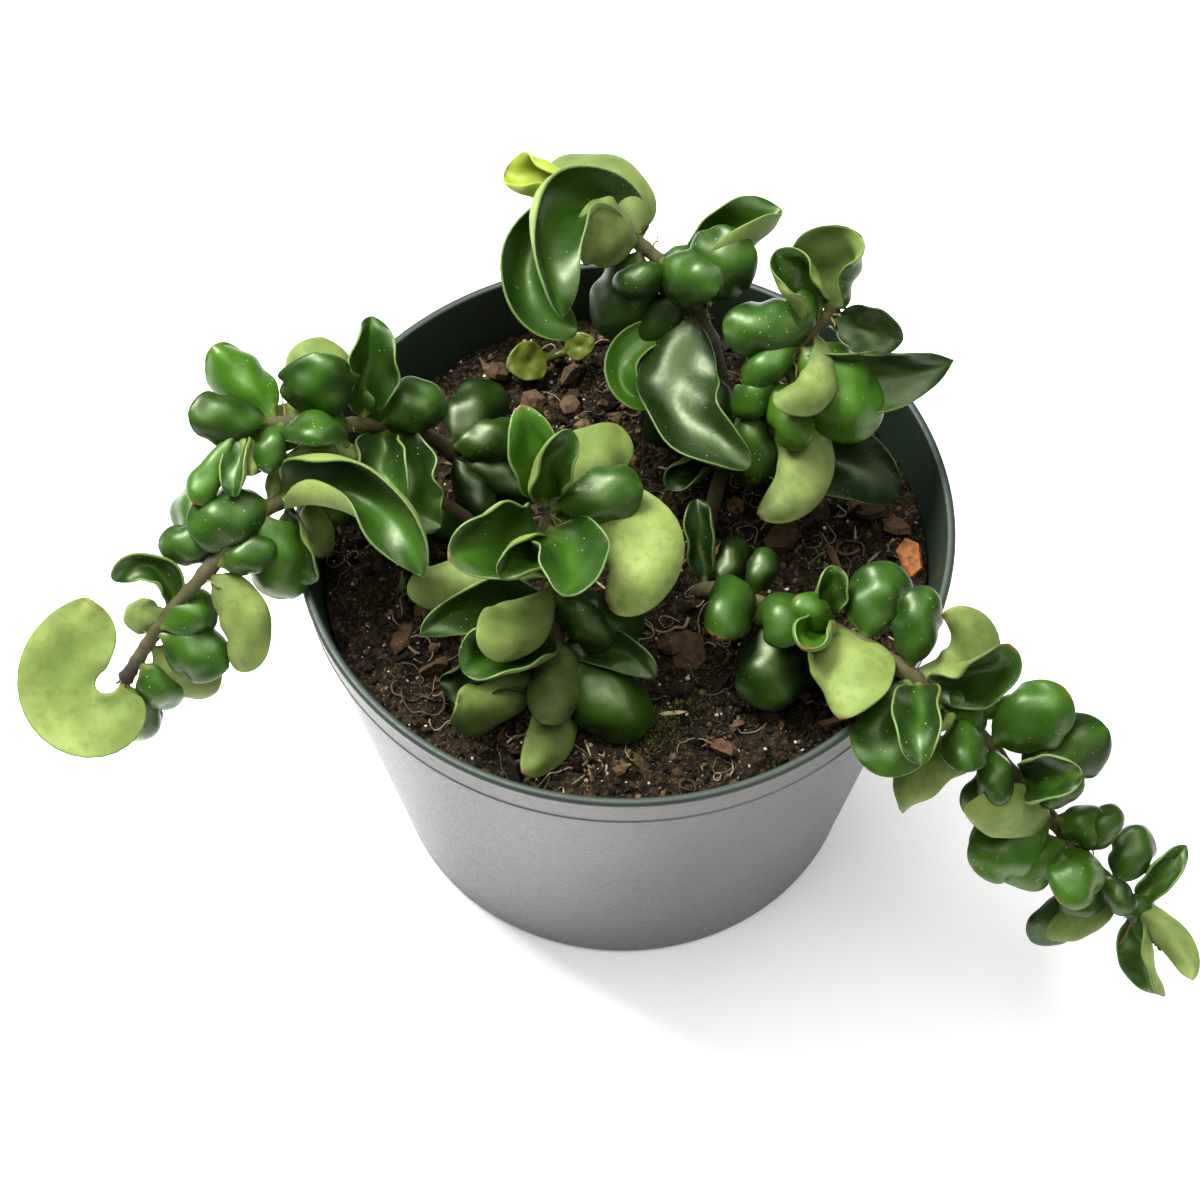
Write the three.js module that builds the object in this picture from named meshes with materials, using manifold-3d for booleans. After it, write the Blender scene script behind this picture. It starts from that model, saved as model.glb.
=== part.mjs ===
// A potted wax plant of the curly-leaved "rope" kind: a tapered nursery pot filled with
// potting mix, six leafy stems that root in it and trail over its rim, and one seedling.
// Millimetres, +Z up. The origin is the middle of the pot's underside, which stands on z = 0.
//
// Every leaf is one thick blade, bent by a formula: its midrib sweeps, curls and twists along
// its length, and its cross-section cups or folds about the midrib. A list gives, for each
// leaf, where it grows on its stem, which way it points and how much it bends.

import * as THREE from 'three';
import { mergeVertices } from 'three/addons/utils/BufferGeometryUtils.js';
import Module from 'manifold-3d';

// ---- Driving dimensions -------------------------------------------------------------------

const POT_HEIGHT = 116;
const RIM_RADIUS = 82.5;         // a 6 1/2 inch pot across its rim
const BASE_RADIUS = 62.5;
const WALL = 1.7;
const FLOOR = 2.6;
const COLLAR_HEIGHT = 11;        // the band that the rim is stiffened with
const COLLAR_STEP = 1.1;         // how far the band stands out from the wall below it
const LIP_WIDTH = 2.3;
const POT_SIDES = 40;
const HOLE_COUNT = 8;
const HOLE_RADIUS = 4.5;
const HOLE_CIRCLE = 48;

const SOIL_DEPTH = 17.5;         // from the rim down to the mix, at the wall
const SOIL_CROWN = 2.5;          // how much higher the mix lies in the middle
const SOIL_RELIEF = 1.1;
const SEAT_GAP = 0.3;            // clearance between two pieces that touch

const STEM_RADIUS = 2.2;         // where a stem leaves the mix
const STEM_TIP_RADIUS = 1.6;
const STEM_SIDES = 6;
const STEM_STEPS = 2;            // rings between two points of a stem's path

const VIEW_SLOPE = 33.3;         // degrees; the leaves are listed as seen on a plane that
                                 // leans back this much from level
const PETIOLE = 3.5;             // length of the leaf stalk
const STALK_ROOT = -1.5;         // the stalk starts this far behind the stem's middle
const BLADE_THICKNESS = 1.7;
const LONG_LEAF = 40;            // leaves at least this long get one more facet lengthwise
const SHORT_LEAF = 31;           // and leaves under this length one less
const SMALL_LEAF = 27;           // leaves under this length have 2 facets across, not 4
const SECTION_SAMPLES = 12;      // steps in which a cross-section's arc is summed

const RAD = Math.PI / 180;

// ---- The leaf forms -----------------------------------------------------------------------
// ratio: width / length. cup, cup_end: bend of each half across the blade, at the stalk and at
// the tip, positive towards the glossy upper face. lean: how much more one half cups than the
// other. fold: crease at the midrib. curl: bend along the midrib, towards the upper face.
// hook: the same near the tip. sweep: bend in the blade's own plane. swing: the same, growing
// towards the tip. twist: turn about the midrib. wave, waves, phase: ripple of the margin, as
// a share of the half width, its count and its start. skew: how much narrower the left half of
// the blade is near the stalk, and how much wider near the tip. root, tip: how fast the outline
// widens from the stalk and closes at the tip, 0.4 round, 0.7 pointed. Angles are in degrees.

const PLAIN = {
  "ratio": 0.7, "cup": 0, "cup_end": 0, "lean": 0, "fold": 0, "curl": 0, "hook": 0,
  "sweep": 0, "swing": 0, "twist": 0, "wave": 0, "waves": 2.2, "phase": 0,
  "skew": 0, "root": 0.5, "tip": 0.55,
};

const FORMS = {
  "boat": { "ratio": 0.66, "cup": 80, "cup_end": 60, "fold": 15, "curl": 15, "hook": -25 },
  "bead": { "ratio": 0.85, "cup": -115, "cup_end": -105, "curl": -140, "tip": 0.45 },
  "dome": { "ratio": 0.78, "cup": -80, "cup_end": -65, "curl": -75, "tip": 0.5 },
  "pale": { "ratio": 0.80, "cup": 70, "cup_end": 55, "curl": 45, "tip": 0.5 },
  "kidney": { "ratio": 0.50, "cup": 45, "cup_end": 60, "curl": 20, "sweep": 170, "tip": 0.42 },
  "blade": { "ratio": 0.55, "cup": 35, "cup_end": 20, "fold": 15, "curl": 10, "hook": -20,
    "tip": 0.65 },
  "scroll": { "ratio": 0.85, "cup": 150, "cup_end": 120, "curl": 20 },
  "scoop": { "ratio": 0.95, "cup": -110, "cup_end": -90, "curl": -40, "tip": 0.4 },
  "lobes": { "ratio": 1.05, "cup": -150, "cup_end": -130, "fold": 55, "curl": -90 },
};

// ---- The stems and their leaves -----------------------------------------------------------
// path: the points that a stem passes through, from its foot in the mix to its tip.
// leaves: [at, turn, lift, face, length, form, changes]
//   at      place on the path, counted in path points, with 0 at the foot
//   turn    clock direction of the leaf, from stalk to tip, on the leaning view plane, as seen
//           from above its front: 0 right, 90 up, 180 left, 270 down
//   lift    how far it rises out of that plane, towards the viewer
//   face    0 shows the glossy upper face, 180 the pale underside
//   length  from the stem's middle to the tip, along the midrib
//   changes what this leaf has other than its form

const VINES = {
  "vine_left": {
    "path": [[-30,10,80], [-42,8,106], [-60,2,126], [-85,-8,134], [-102,-23,126], [-113,-30,115],
      [-124,-39,101]],
    "leaves": [
      [5.95, 118, 0, 180, 47, "kidney", {"sweep": 430, "swing": -230, "ratio": 0.46, "skew": 0.5,
        "root": 0.45, "tip": 0.4, "cup": -15, "cup_end": -10, "curl": -10}],
      [5.65, 312, 5, 0, 24, "bead", {"ratio": 1.1}],
      [5.95, 279, -5, 0, 29, "bead", {"ratio": 0.8}],
      [5.15, 25, 40, 0, 21, "bead", {"ratio": 1.1}],
      [5.2, 335, 22, 0, 21, "dome", {"ratio": 1.0}],
      [4.0, 276, 8, 180, 29, "pale", {"sweep": 90, "ratio": 0.55}],
      [3.9, 15, 25, 0, 18, "dome", {"ratio": 0.9}],
      [3.02, 195, 40, 0, 24, "dome", {"ratio": 1.0}],
      [3.6, 180, 8, 0, 19, "dome", {"ratio": 0.85, "curl": -50}],
      [3.6, 140, -5, 0, 25, "dome"],
      [4.9, 160, 15, 0, 25, "boat", {"sweep": 165, "ratio": 0.5}],
      [4.8, 190, -10, 180, 15, "pale"],
      [5.4, 322, -15, 180, 24, "pale", {"ratio": 0.75}],
      [2.7, 280, -10, 180, 19, "pale", {"ratio": 0.6}],
      [2.6, 305, -15, 0, 20, "bead"],
      [2.3, 285, -25, 0, 21, "bead"],
      [3.15, 285, 10, 0, 26, "dome", {"ratio": 0.95}],
      [2.9, 287, -10, 30, 22, "boat"],
      [3.0, 330, 28, 0, 54, "boat", {"sweep": -95, "cup": 130, "cup_end": 75, "ratio": 0.58,
        "tip": 0.85}],
      [3.1, 24, -12, 180, 30, "boat", {"sweep": 95, "ratio": 0.42}],
      [1.4, 290, 0, 0, 20, "bead"],
      [2.0, 205, -25, 180, 22, "pale"],
    ],
  },
  "vine_left_upper": {
    "path": [[-34,28,80], [-44,24,110], [-56,18,130], [-73,10,141], [-91,7,146], [-97,6,146]],
    "leaves": [
      [3.6, 130, 15, 0, 25, "dome", {"curl": -25, "cup": -40, "ratio": 0.85, "fold": -20}],
      [3.2, 85, -4, 180, 24, "pale", {"ratio": 1.05}],
      [3.05, 92, 62, 0, 22, "dome", {"ratio": 1.3}],
      [3.1, 268, 112, 0, 20, "dome", {"ratio": 1.5, "curl": -130}],
      [2.55, 84, 12, 15, 27, "blade", {"ratio": 0.8, "fold": 40, "cup": 40, "tip": 0.7}],
      [2.38, 25, 20, 0, 21, "dome", {"ratio": 0.9}],
      [3.65, 172, 35, 10, 22, "dome", {"ratio": 0.85, "curl": -40}],
      [4.3, 241, 24, 0, 23, "dome", {"root": 1.3, "ratio": 0.5, "curl": -30}],
      [4.1, 262, 15, 20, 19, "boat"],
      [4.3, 285, 20, 180, 14, "blade"],
      [2.8, 214, 18, 180, 31, "kidney", {"sweep": -95, "ratio": 0.45, "cup": 40}],
      [2.05, 294, 15, 10, 30, "blade", {"sweep": -90, "swing": 130, "cup": 60, "cup_end": 30,
        "ratio": 0.62, "wave": 0.12}],
      [2.2, 282, 28, 0, 26, "boat", {"ratio": 0.8, "sweep": 40}],
      [1.1, 52, 5, 0, 26, "dome"],
      [1.1, 10, 20, 0, 21, "dome"],
      [1.0, 330, 16, 0, 22, "dome", {"ratio": 0.6, "curl": -30}],
      [1.0, 300, 24, 0, 19, "dome", {"curl": -30}],
      [2.7, 175, 68, 0, 18, "bead"],
      [3.55, 255, 70, 0, 18, "bead"],
      [2.15, 120, 70, 0, 18, "bead"],
    ],
  },
  "vine_front": {
    "path": [[-14,-34,80], [-16,-37,103], [-18,-30,124], [-19,-19,140], [-19.5,-16,144]],
    "leaves": [
      [3.65, 103, 24, 0, 28, "blade", {"ratio": 0.66, "root": 0.7, "tip": 0.75, "fold": 25, "cup": 50,
        "hook": -10}],
      [3.9, 66, 34, 22, 25, "boat", {"ratio": 0.72, "sweep": -50, "curl": 20}],
      [3.9, 82, -10, 0, 25, "dome", {"ratio": 0.7}],
      [3.7, 50, -8, 180, 32, "pale", {"ratio": 0.62}],
      [3.6, 15, 24, 0, 25, "dome", {"ratio": 0.8, "curl": -60, "root": 0.9}],
      [2.78, 303, 26, 180, 47, "kidney", {"sweep": 225, "ratio": 0.56, "skew": 0.2, "root": 0.9,
        "cup": 45, "cup_end": 80, "wave": 0.05}],
      [3.0, 279, 50, 0, 32, "boat", {"sweep": -50, "cup": 55, "cup_end": 35, "ratio": 0.72,
        "root": 0.4, "hook": 0}],
      [2.45, 203, 62, 0, 28, "boat", {"ratio": 0.7, "cup": 85, "fold": 30, "sweep": 50}],
      [2.3, 206, 48, 180, 30, "kidney", {"sweep": 95, "ratio": 0.6, "root": 0.9, "cup": 50,
        "cup_end": 70}],
      [2.85, 196, 38, 5, 32, "boat", {"ratio": 1.0, "cup": 75, "cup_end": 85, "fold": 0, "curl": 20,
        "tip": 0.7}],
      [2.3, 187, 4, 180, 35, "pale", {"ratio": 0.4, "root": 0.9, "sweep": -15, "curl": 15}],
      [1.65, 187, 24, 0, 38, "boat", {"ratio": 0.5, "sweep": 70, "wave": 0.15, "waves": 1.2, "tip": 0.8}],
      [1.6, 203, 38, 10, 31, "boat", {"ratio": 0.85, "cup": 95, "cup_end": 70, "wave": 0.12,
        "waves": 1.3, "phase": 90}],
      [1.9, 350, 18, 0, 25, "dome", {"ratio": 0.8}],
      [1.5, 250, 48, 180, 25, "pale", {"ratio": 0.75, "sweep": 60}],
      [1.1, 188, 18, 0, 35, "boat", {"ratio": 0.62, "wave": 0.25, "waves": 1.5, "phase": 180}],
      [1.25, 202, 40, 150, 37, "boat", {"ratio": 0.5, "sweep": 80, "wave": 0.1}],
      [1.2, 249, 32, 170, 35, "blade", {"ratio": 0.4, "sweep": 60}],
      [1.12, 322, 68, 0, 35, "bead", {"ratio": 0.85, "curl": -110}],
      [1.35, 341, 26, 0, 29, "blade", {"ratio": 0.45, "sweep": -50}],
      [2.1, 320, 20, 0, 22, "dome"],
      [0.95, 150, 20, 0, 24, "dome"],
    ],
  },
  "vine_right": {
    "path": [[14,-6,80], [20,-14,104], [36,-27,116], [58,-42,122], [78,-54,114], [94,-62,97],
      [108,-69,79], [123,-78,64], [134,-86,53]],
    "leaves": [
      [1.42, 252, 118, 0, 33, "bead", {"curl": -150, "ratio": 0.78}],
      [2.05, 290, 120, 0, 28, "bead", {"ratio": 0.95, "curl": -150}],
      [2.1, 264, 40, 0, 27, "dome", {"ratio": 1.0}],
      [2.55, 82, 20, 0, 16, "boat", {"ratio": 0.9}],
      [2.55, 230, 62, 20, 21, "scroll", {"ratio": 1.0}],
      [2.58, 264, 74, 180, 33, "pale", {"ratio": 0.72, "root": 0.35, "tip": 0.6, "sweep": 70,
        "curl": 70, "cup": 30, "cup_end": 50}],
      [2.6, 140, 80, 0, 18, "bead", {"ratio": 0.9}],
      [2.95, 70, 20, 0, 23, "dome", {"ratio": 1.2}],
      [3.45, 72, 30, 10, 23, "dome", {"ratio": 0.8}],
      [3.38, 66, 20, 180, 38, "blade", {"sweep": -215, "ratio": 0.46, "cup": 50, "tip": 0.75}],
      [3.6, 262, 58, 10, 28, "boat", {"cup": 60, "curl": -20, "ratio": 0.66}],
      [3.5, 250, 32, 0, 27, "dome", {"ratio": 0.85, "curl": -35, "fold": 20}],
      [4.05, 215, 45, 30, 22, "scroll"],
      [3.6, 28, 30, 30, 27, "boat", {"ratio": 0.8, "sweep": 50}],
      [4.3, 55, -5, 0, 22, "bead"],
      [4.2, 262, 80, 0, 21, "dome", {"ratio": 0.85}],
      [4.6, 215, 10, 150, 27, "boat", {"ratio": 0.9}],
      [4.7, 262, 80, 0, 20, "bead"],
      [4.6, 36, 40, 0, 25, "dome", {"ratio": 0.95}],
      [5.1, 30, 40, 0, 27, "dome", {"ratio": 0.95}],
      [5.15, 12, 60, 0, 26, "boat", {"ratio": 0.8}],
      [5.2, 200, 62, 0, 22, "bead", {"ratio": 0.95}],
      [5.75, 172, 68, 180, 34, "pale", {"ratio": 0.55, "curl": 60, "tip": 0.7}],
      [5.4, 222, -5, 180, 20, "blade"],
      [5.75, 345, 20, 0, 19, "dome", {"ratio": 0.9}],
      [5.8, 208, 42, 0, 26, "dome", {"ratio": 1.0}],
      [6.1, 215, 38, 0, 28, "bead", {"ratio": 1.0}],
      [6.45, 225, 100, 0, 26, "bead", {"ratio": 1.0}],
      [6.85, 215, 25, 0, 20, "bead", {"ratio": 0.95}],
      [6.9, 216, -6, 0, 27, "dome", {"ratio": 0.6, "curl": -40}],
      [7.1, 208, 15, 180, 22, "pale", {"ratio": 0.55, "tip": 0.65}],
      [6.9, 60, 28, 0, 19, "dome", {"ratio": 1.0}],
      [7.3, 50, 5, 0, 21, "boat", {"ratio": 0.6, "tip": 0.75}],
      [7.25, 291, 8, 40, 24, "boat", {"ratio": 0.8, "twist": 60}],
      [7.2, 305, 30, 180, 27, "blade", {"ratio": 0.4, "sweep": 50}],
      [7.0, 320, 20, 0, 18, "bead"],
      [1.0, 95, 0, 0, 23, "boat", {"ratio": 0.6}],
      [1.2, 60, 0, 0, 18, "dome"],
      [1.7, 70, 35, 0, 18, "bead"],
      [4.45, 120, 70, 0, 20, "bead"],
      [5.5, 35, 85, 0, 20, "bead"],
      [6.3, 50, 60, 0, 20, "bead"],
      [6.75, 300, 85, 0, 17, "bead"],
    ],
  },
  "vine_back_right": {
    "path": [[20,2,80], [22,8,108], [28,16,130], [38,25,146], [48,32,154], [52,35,156]],
    "leaves": [
      [4.0, 125, 25, 0, 24, "scroll", {"ratio": 1.0}],
      [4.2, 78, 15, 180, 25, "scoop", {"ratio": 1.15, "cup": -120, "cup_end": -100, "lean": 0.5,
        "root": 0.4, "tip": 0.3}],
      [4.1, 345, 0, 0, 20, "blade", {"ratio": 0.8}],
      [4.05, 184, 28, 0, 26, "dome", {"curl": -50, "ratio": 0.9}],
      [3.7, 226, 48, 180, 29, "pale", {"sweep": 150, "ratio": 0.48}],
      [3.4, 312, 18, 0, 31, "dome", {"ratio": 0.9}],
      [2.95, 4, -8, 20, 45, "blade", {"sweep": 30, "ratio": 0.5, "tip": 0.9, "cup": 40, "cup_end": 20,
        "fold": 30}],
      [2.5, 262, 14, 180, 41, "kidney", {"sweep": 150, "ratio": 0.42, "cup": 60, "cup_end": 40,
        "tip": 0.6}],
      [2.9, 235, 40, 0, 21, "bead"],
      [1.8, 342, -10, 0, 46, "blade", {"ratio": 0.55, "sweep": -40}],
      [2.3, 345, 18, 0, 26, "dome"],
      [2.4, 270, 15, 0, 23, "dome"],
      [3.4, 215, 45, 0, 22, "bead"],
      [2.8, 290, 40, 0, 22, "dome"],
      [3.55, 95, 60, 0, 19, "bead"],
    ],
  },
  "vine_back_left": {
    "path": [[26,22,80], [26,28,112], [22,38,136], [14,47,150], [3,54,158], [-8,60,164]],
    "leaves": [
      [4.0, 157, -4, 180, 36, "pale", {"sweep": -110, "ratio": 0.7}],
      [3.85, 227, 42, 0, 64, "boat", {"sweep": 280, "swing": -115, "skew": 0.1, "cup": 100,
        "ratio": 0.42, "tip": 0.65}],
      [3.95, 171, 58, 180, 21, "pale", {"ratio": 1.1, "curl": 60}],
      [4.75, 264, 2, 0, 49, "boat", {"sweep": 180, "ratio": 0.42}],
      [5.0, 158, -12, 20, 24, "scroll", {"ratio": 1.1}],
      [3.9, 250, 0, 0, 29, "dome"],
      [2.9, 225, 0, 0, 27, "dome"],
      [2.85, 32, 75, 0, 27, "dome", {"curl": -110, "ratio": 1.0}],
      [3.5, 330, 65, 0, 22, "dome", {"ratio": 1.0}],
      [2.5, 50, 14, -50, 33, "boat", {"ratio": 0.95, "fold": 35}],
      [2.1, 245, 8, 0, 42, "boat", {"sweep": 60, "swing": 150, "ratio": 0.28, "root": 0.9, "cup": 50}],
      [1.4, 200, 5, 0, 25, "dome", {"ratio": 1.0}],
      [0.9, 215, 20, 0, 22, "scroll"],
      [2.5, 112, 50, 0, 20, "dome", {"ratio": 1.3}],
      [2.5, 292, 20, 0, 51, "boat", {"sweep": 105, "ratio": 0.45, "cup": -45, "cup_end": 110,
        "fold": 0, "wave": 0.06, "root": 0.4}],
      [1.7, 262, 30, 0, 25, "dome"],
      [3.3, 200, 60, 0, 21, "bead"],
    ],
  },
  "sprout": {
    "path": [[-15,64,80], [-17,62,98], [-18,60,104]],
    "leaves": [
      [1.9, 195, 25, 0, 15, "blade", {"ratio": 1.0, "cup": 10, "cup_end": 10, "hook": 0}],
      [1.95, 20, 20, 0, 12, "blade", {"ratio": 0.8, "cup": 10, "cup_end": 10, "hook": 0}],
    ],
  },
};

// ---- Solids -------------------------------------------------------------------------------

const wasm = await Module();
wasm.setup();

/** A closed solid from a geometry, for joining and cutting. */
function toSolid(geometry) {
  const bare = geometry.clone();
  bare.deleteAttribute('normal');
  bare.deleteAttribute('uv');
  const merged = mergeVertices(bare, 1e-4);
  return new wasm.Manifold(new wasm.Mesh({
    numProp: 3,
    vertProperties: Float32Array.from(merged.attributes.position.array),
    triVerts: Uint32Array.from(merged.index.array),
  }));
}

/** The body of a solid that its largest piece makes: sealed hollows and loose scraps go. */
function mainBody(solid) {
  const pieces = solid.decompose();
  return pieces.reduce((best, piece) => (piece.volume() > best.volume() ? piece : best));
}

/** A named mesh from a solid, with its own finish. */
function toMesh(name, solid, finish) {
  const { vertProperties, triVerts } = solid.getMesh();
  const geometry = new THREE.BufferGeometry();
  geometry.setAttribute('position', new THREE.BufferAttribute(vertProperties, 3));
  geometry.setIndex(new THREE.BufferAttribute(triVerts, 1));
  geometry.computeVertexNormals();
  const mesh = new THREE.Mesh(geometry, new THREE.MeshStandardMaterial(finish));
  mesh.name = name;
  return mesh;
}

/**
 * A closed body through rings of points, all with the same count. Each end runs to a point if
 * one is given, and is filled flat if not.
 */
function loft(rings, start = null, end = null) {
  const count = rings[0].length;
  const points = [...rings.flat(), ...[start, end].filter(Boolean)];
  const last = (rings.length - 1) * count;
  const faces = [];
  for (let i = 0; i < last; i += count) {
    for (let k = 0; k < count; k += 1) {
      const [a, b] = [i + k, i + (k + 1) % count];
      faces.push(a, a + count, b + count, a, b + count, b);
    }
  }
  for (let k = 0; k < count; k += 1) {
    const next = (k + 1) % count;
    if (start) faces.push(k, next, last + count);
    else if (k > 0 && next > 0) faces.push(0, k, next);
    if (end) faces.push(last + k, points.length - 1, last + next);
    else if (k > 0 && next > 0) faces.push(last, last + next, last + k);
  }
  const geometry = new THREE.BufferGeometry();
  geometry.setFromPoints(points);
  geometry.setIndex(faces);
  return toSolid(geometry);
}

// ---- Stems --------------------------------------------------------------------------------

const vector = (point) => new THREE.Vector3(...point);

/** The smooth curve through a stem's path points. */
const stemCurve = (path) => new THREE.CatmullRomCurve3(path.map(vector), false, 'catmullrom', 0.5);

/** A tapering stem along its curve, grown by `extra` all round. */
function stemSolid(path, extra = 0) {
  const curve = stemCurve(path);
  const steps = (path.length - 1) * STEM_STEPS;
  const first = curve.getTangent(0);
  const across = first.clone().cross(curve.getTangent(0.7));
  if (across.length() < 0.1) across.set(1, 0, 0);
  const rings = [];
  for (let i = 0; i <= steps; i += 1) {
    const share = i / steps;
    const radius = STEM_RADIUS + (STEM_TIP_RADIUS - STEM_RADIUS) * share + extra;
    const tangent = curve.getTangent(share);
    const up = tangent.clone().cross(across).normalize();
    const side = up.clone().cross(tangent);
    const centre = curve.getPoint(share);
    if (i === 0) centre.addScaledVector(tangent, -extra);
    if (i === steps) centre.addScaledVector(tangent, extra);
    const ring = [];
    for (let k = 0; k < STEM_SIDES; k += 1) {
      const angle = -2 * Math.PI * k / STEM_SIDES;
      ring.push(centre.clone().addScaledVector(side, radius * Math.cos(angle))
        .addScaledVector(up, radius * Math.sin(angle)));
    }
    rings.push(ring);
  }
  return loft(rings);
}

// ---- Leaves -------------------------------------------------------------------------------

const turnX = (degrees) => new THREE.Matrix4().makeRotationX(degrees * RAD);
const turnY = (degrees) => new THREE.Matrix4().makeRotationY(degrees * RAD);
const turnZ = (degrees) => new THREE.Matrix4().makeRotationZ(degrees * RAD);
const clamp = THREE.MathUtils.clamp;

/** Half of a blade's cross-section: how far out and how far up its point at share s lies. */
function sectionPoint(s, fold, cup) {
  let out = 0;
  let up = 0;
  for (let k = 0; k < SECTION_SAMPLES; k += 1) {
    const at = s * (k + 0.5) / SECTION_SAMPLES;
    const angle = (fold * clamp(at / 0.2, 0, 1) + cup * at) * RAD;
    out += Math.cos(angle) * s / SECTION_SAMPLES;
    up += Math.sin(angle) * s / SECTION_SAMPLES;
  }
  return [out, up];
}

/**
 * One leaf as a closed solid that grows from `base`: a round stalk that widens into a blade.
 * The middle surface of the blade is worked out on a grid, u from stalk to tip and v from edge
 * to edge, and both faces are set off from it along its normals.
 */
function leafSolid(base, turn, lift, face, length, formName, changes) {
  const form = { ...PLAIN, ...FORMS[formName], ...changes };
  const cells = 4 + (length >= LONG_LEAF ? 1 : 0) - (length < SHORT_LEAF ? 1 : 0);
  const wide = length < SMALL_LEAF ? 2 : 4;
  const bladeLength = length - PETIOLE;
  const widest = bladeLength * form.ratio / 2;

  // The midrib: stations u, the frame that rides along it, and its points.
  const stations = [];
  for (let i = 0; i <= cells; i += 1) {
    const even = i / cells;
    stations.push(0.8 * (1 - Math.cos(Math.PI * even)) / 2 + 0.2 * even);
  }
  const frames = stations.map((u) => turnZ(form.sweep * u + form.swing * u ** 2)
    .multiply(turnY(-(form.curl * u ** 1.15 + form.hook * u ** 4)))
    .multiply(turnX(form.twist * u)));
  const axis = (frame, k) => new THREE.Vector3().setFromMatrixColumn(frame, k);
  const midrib = [new THREE.Vector3(PETIOLE, 0, 0)];
  for (let i = 1; i <= cells; i += 1) {
    const step = (stations[i] - stations[i - 1]) * bladeLength;
    const along = axis(frames[i], 0).add(axis(frames[i - 1], 0)).multiplyScalar(step / 2);
    midrib.push(midrib[i - 1].clone().add(along));
  }

  // The outline, widest near the middle, and the middle surface.
  const outline = (u) => (u + 0.02) ** form.root * (1 - u) ** form.tip;
  const fullest = Math.max(...Array.from({ length: 101 }, (_, k) => outline(k / 100)));
  const halves = stations.map((u) => Math.max(widest * outline(u) / fullest,
    0.9 * clamp(1.2 - u, 0.35, 1)));
  const surface = stations.map((u, i) => {
    const spread = clamp(halves[i] / widest, 0, 1);
    const cup = (form.cup + (form.cup_end - form.cup) * u) * spread;
    const fold = form.fold * clamp(2 * spread, 0, 1);
    const row = [];
    for (let k = 0; k <= wide; k += 1) {
      const v = -1 + 2 * k / wide;
      const [s, sign] = [Math.abs(v), Math.sign(v)];
      const sideCup = cup * (1 + form.lean * sign);
      const [out, up] = sectionPoint(s, fold, sideCup);
      const edge = (fold * clamp(s / 0.2, 0, 1) + sideCup * s) * RAD;
      const ripple = form.wave * s ** 2
        * Math.sin(2 * Math.PI * form.waves * u + form.phase * RAD + (sign > 0 ? 0 : 2));
      const half = halves[i] * (1 - form.skew * sign * (1 - 2 * u));
      row.push(midrib[i].clone()
        .addScaledVector(axis(frames[i], 1), sign * half * (out - ripple * Math.sin(edge)))
        .addScaledVector(axis(frames[i], 2), half * (up + ripple * Math.cos(edge))));
    }
    return row;
  });

  // Both faces: every point of the row on the bulging one, every other point on the hollow
  // one. Rings run along the upper face and back along the underside.
  const hollowTop = form.cup >= 0;
  const coarse = wide / 2;
  const rings = surface.slice(0, cells).map((row, i) => {
    const before = surface[Math.max(i - 1, 0)];
    const after = surface[i + 1];
    const top = [];
    const bottom = [];
    row.forEach((point, k) => {
      const along = after[k].clone().sub(before[k]);
      const across = row[Math.min(k + 1, wide)].clone().sub(row[Math.max(k - 1, 0)]);
      const normal = along.cross(across).normalize();
      const s = Math.abs(-1 + 2 * k / wide);
      const reach = BLADE_THICKNESS * (1 - 0.4 * s ** 3) / 2;
      if (!hollowTop || k % coarse === 0) top.push(point.clone().addScaledVector(normal, reach));
      if (hollowTop || k % coarse === 0) bottom.unshift(point.clone().addScaledVector(normal, -reach));
    });
    return [...top, ...bottom];
  });
  const place = turnX(VIEW_SLOPE).multiply(turnZ(turn)).multiply(turnY(-lift))
    .multiply(turnX(face)).multiply(turnZ(-form.sweep / 2 - form.swing / 3)).setPosition(base);
  rings.forEach((ring) => ring.forEach((point) => point.applyMatrix4(place)));
  const root = new THREE.Vector3(STALK_ROOT, 0, 0).applyMatrix4(place);
  return loft(rings, root, surface[cells][wide / 2].clone().applyMatrix4(place));
}

/** A stem with all its leaves as one solid. */
function vineSolid({ path, leaves }) {
  const curve = stemCurve(path);
  let solid = stemSolid(path);
  for (const [at, turn, lift, face, length, form, changes] of leaves) {
    const base = curve.getPoint(at / (path.length - 1));
    solid = solid.add(leafSolid(base, turn, lift, face, length, form, changes ?? {}));
  }
  return mainBody(solid);
}

// ---- Pot ----------------------------------------------------------------------------------

/** Radius of the pot's inner wall at a height. */
const innerRadius = (z) => {
  const top = RIM_RADIUS - LIP_WIDTH;
  const bottom = BASE_RADIUS - WALL;
  return bottom + (top - bottom) * (z - FLOOR) / (POT_HEIGHT - FLOOR);
};

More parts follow.
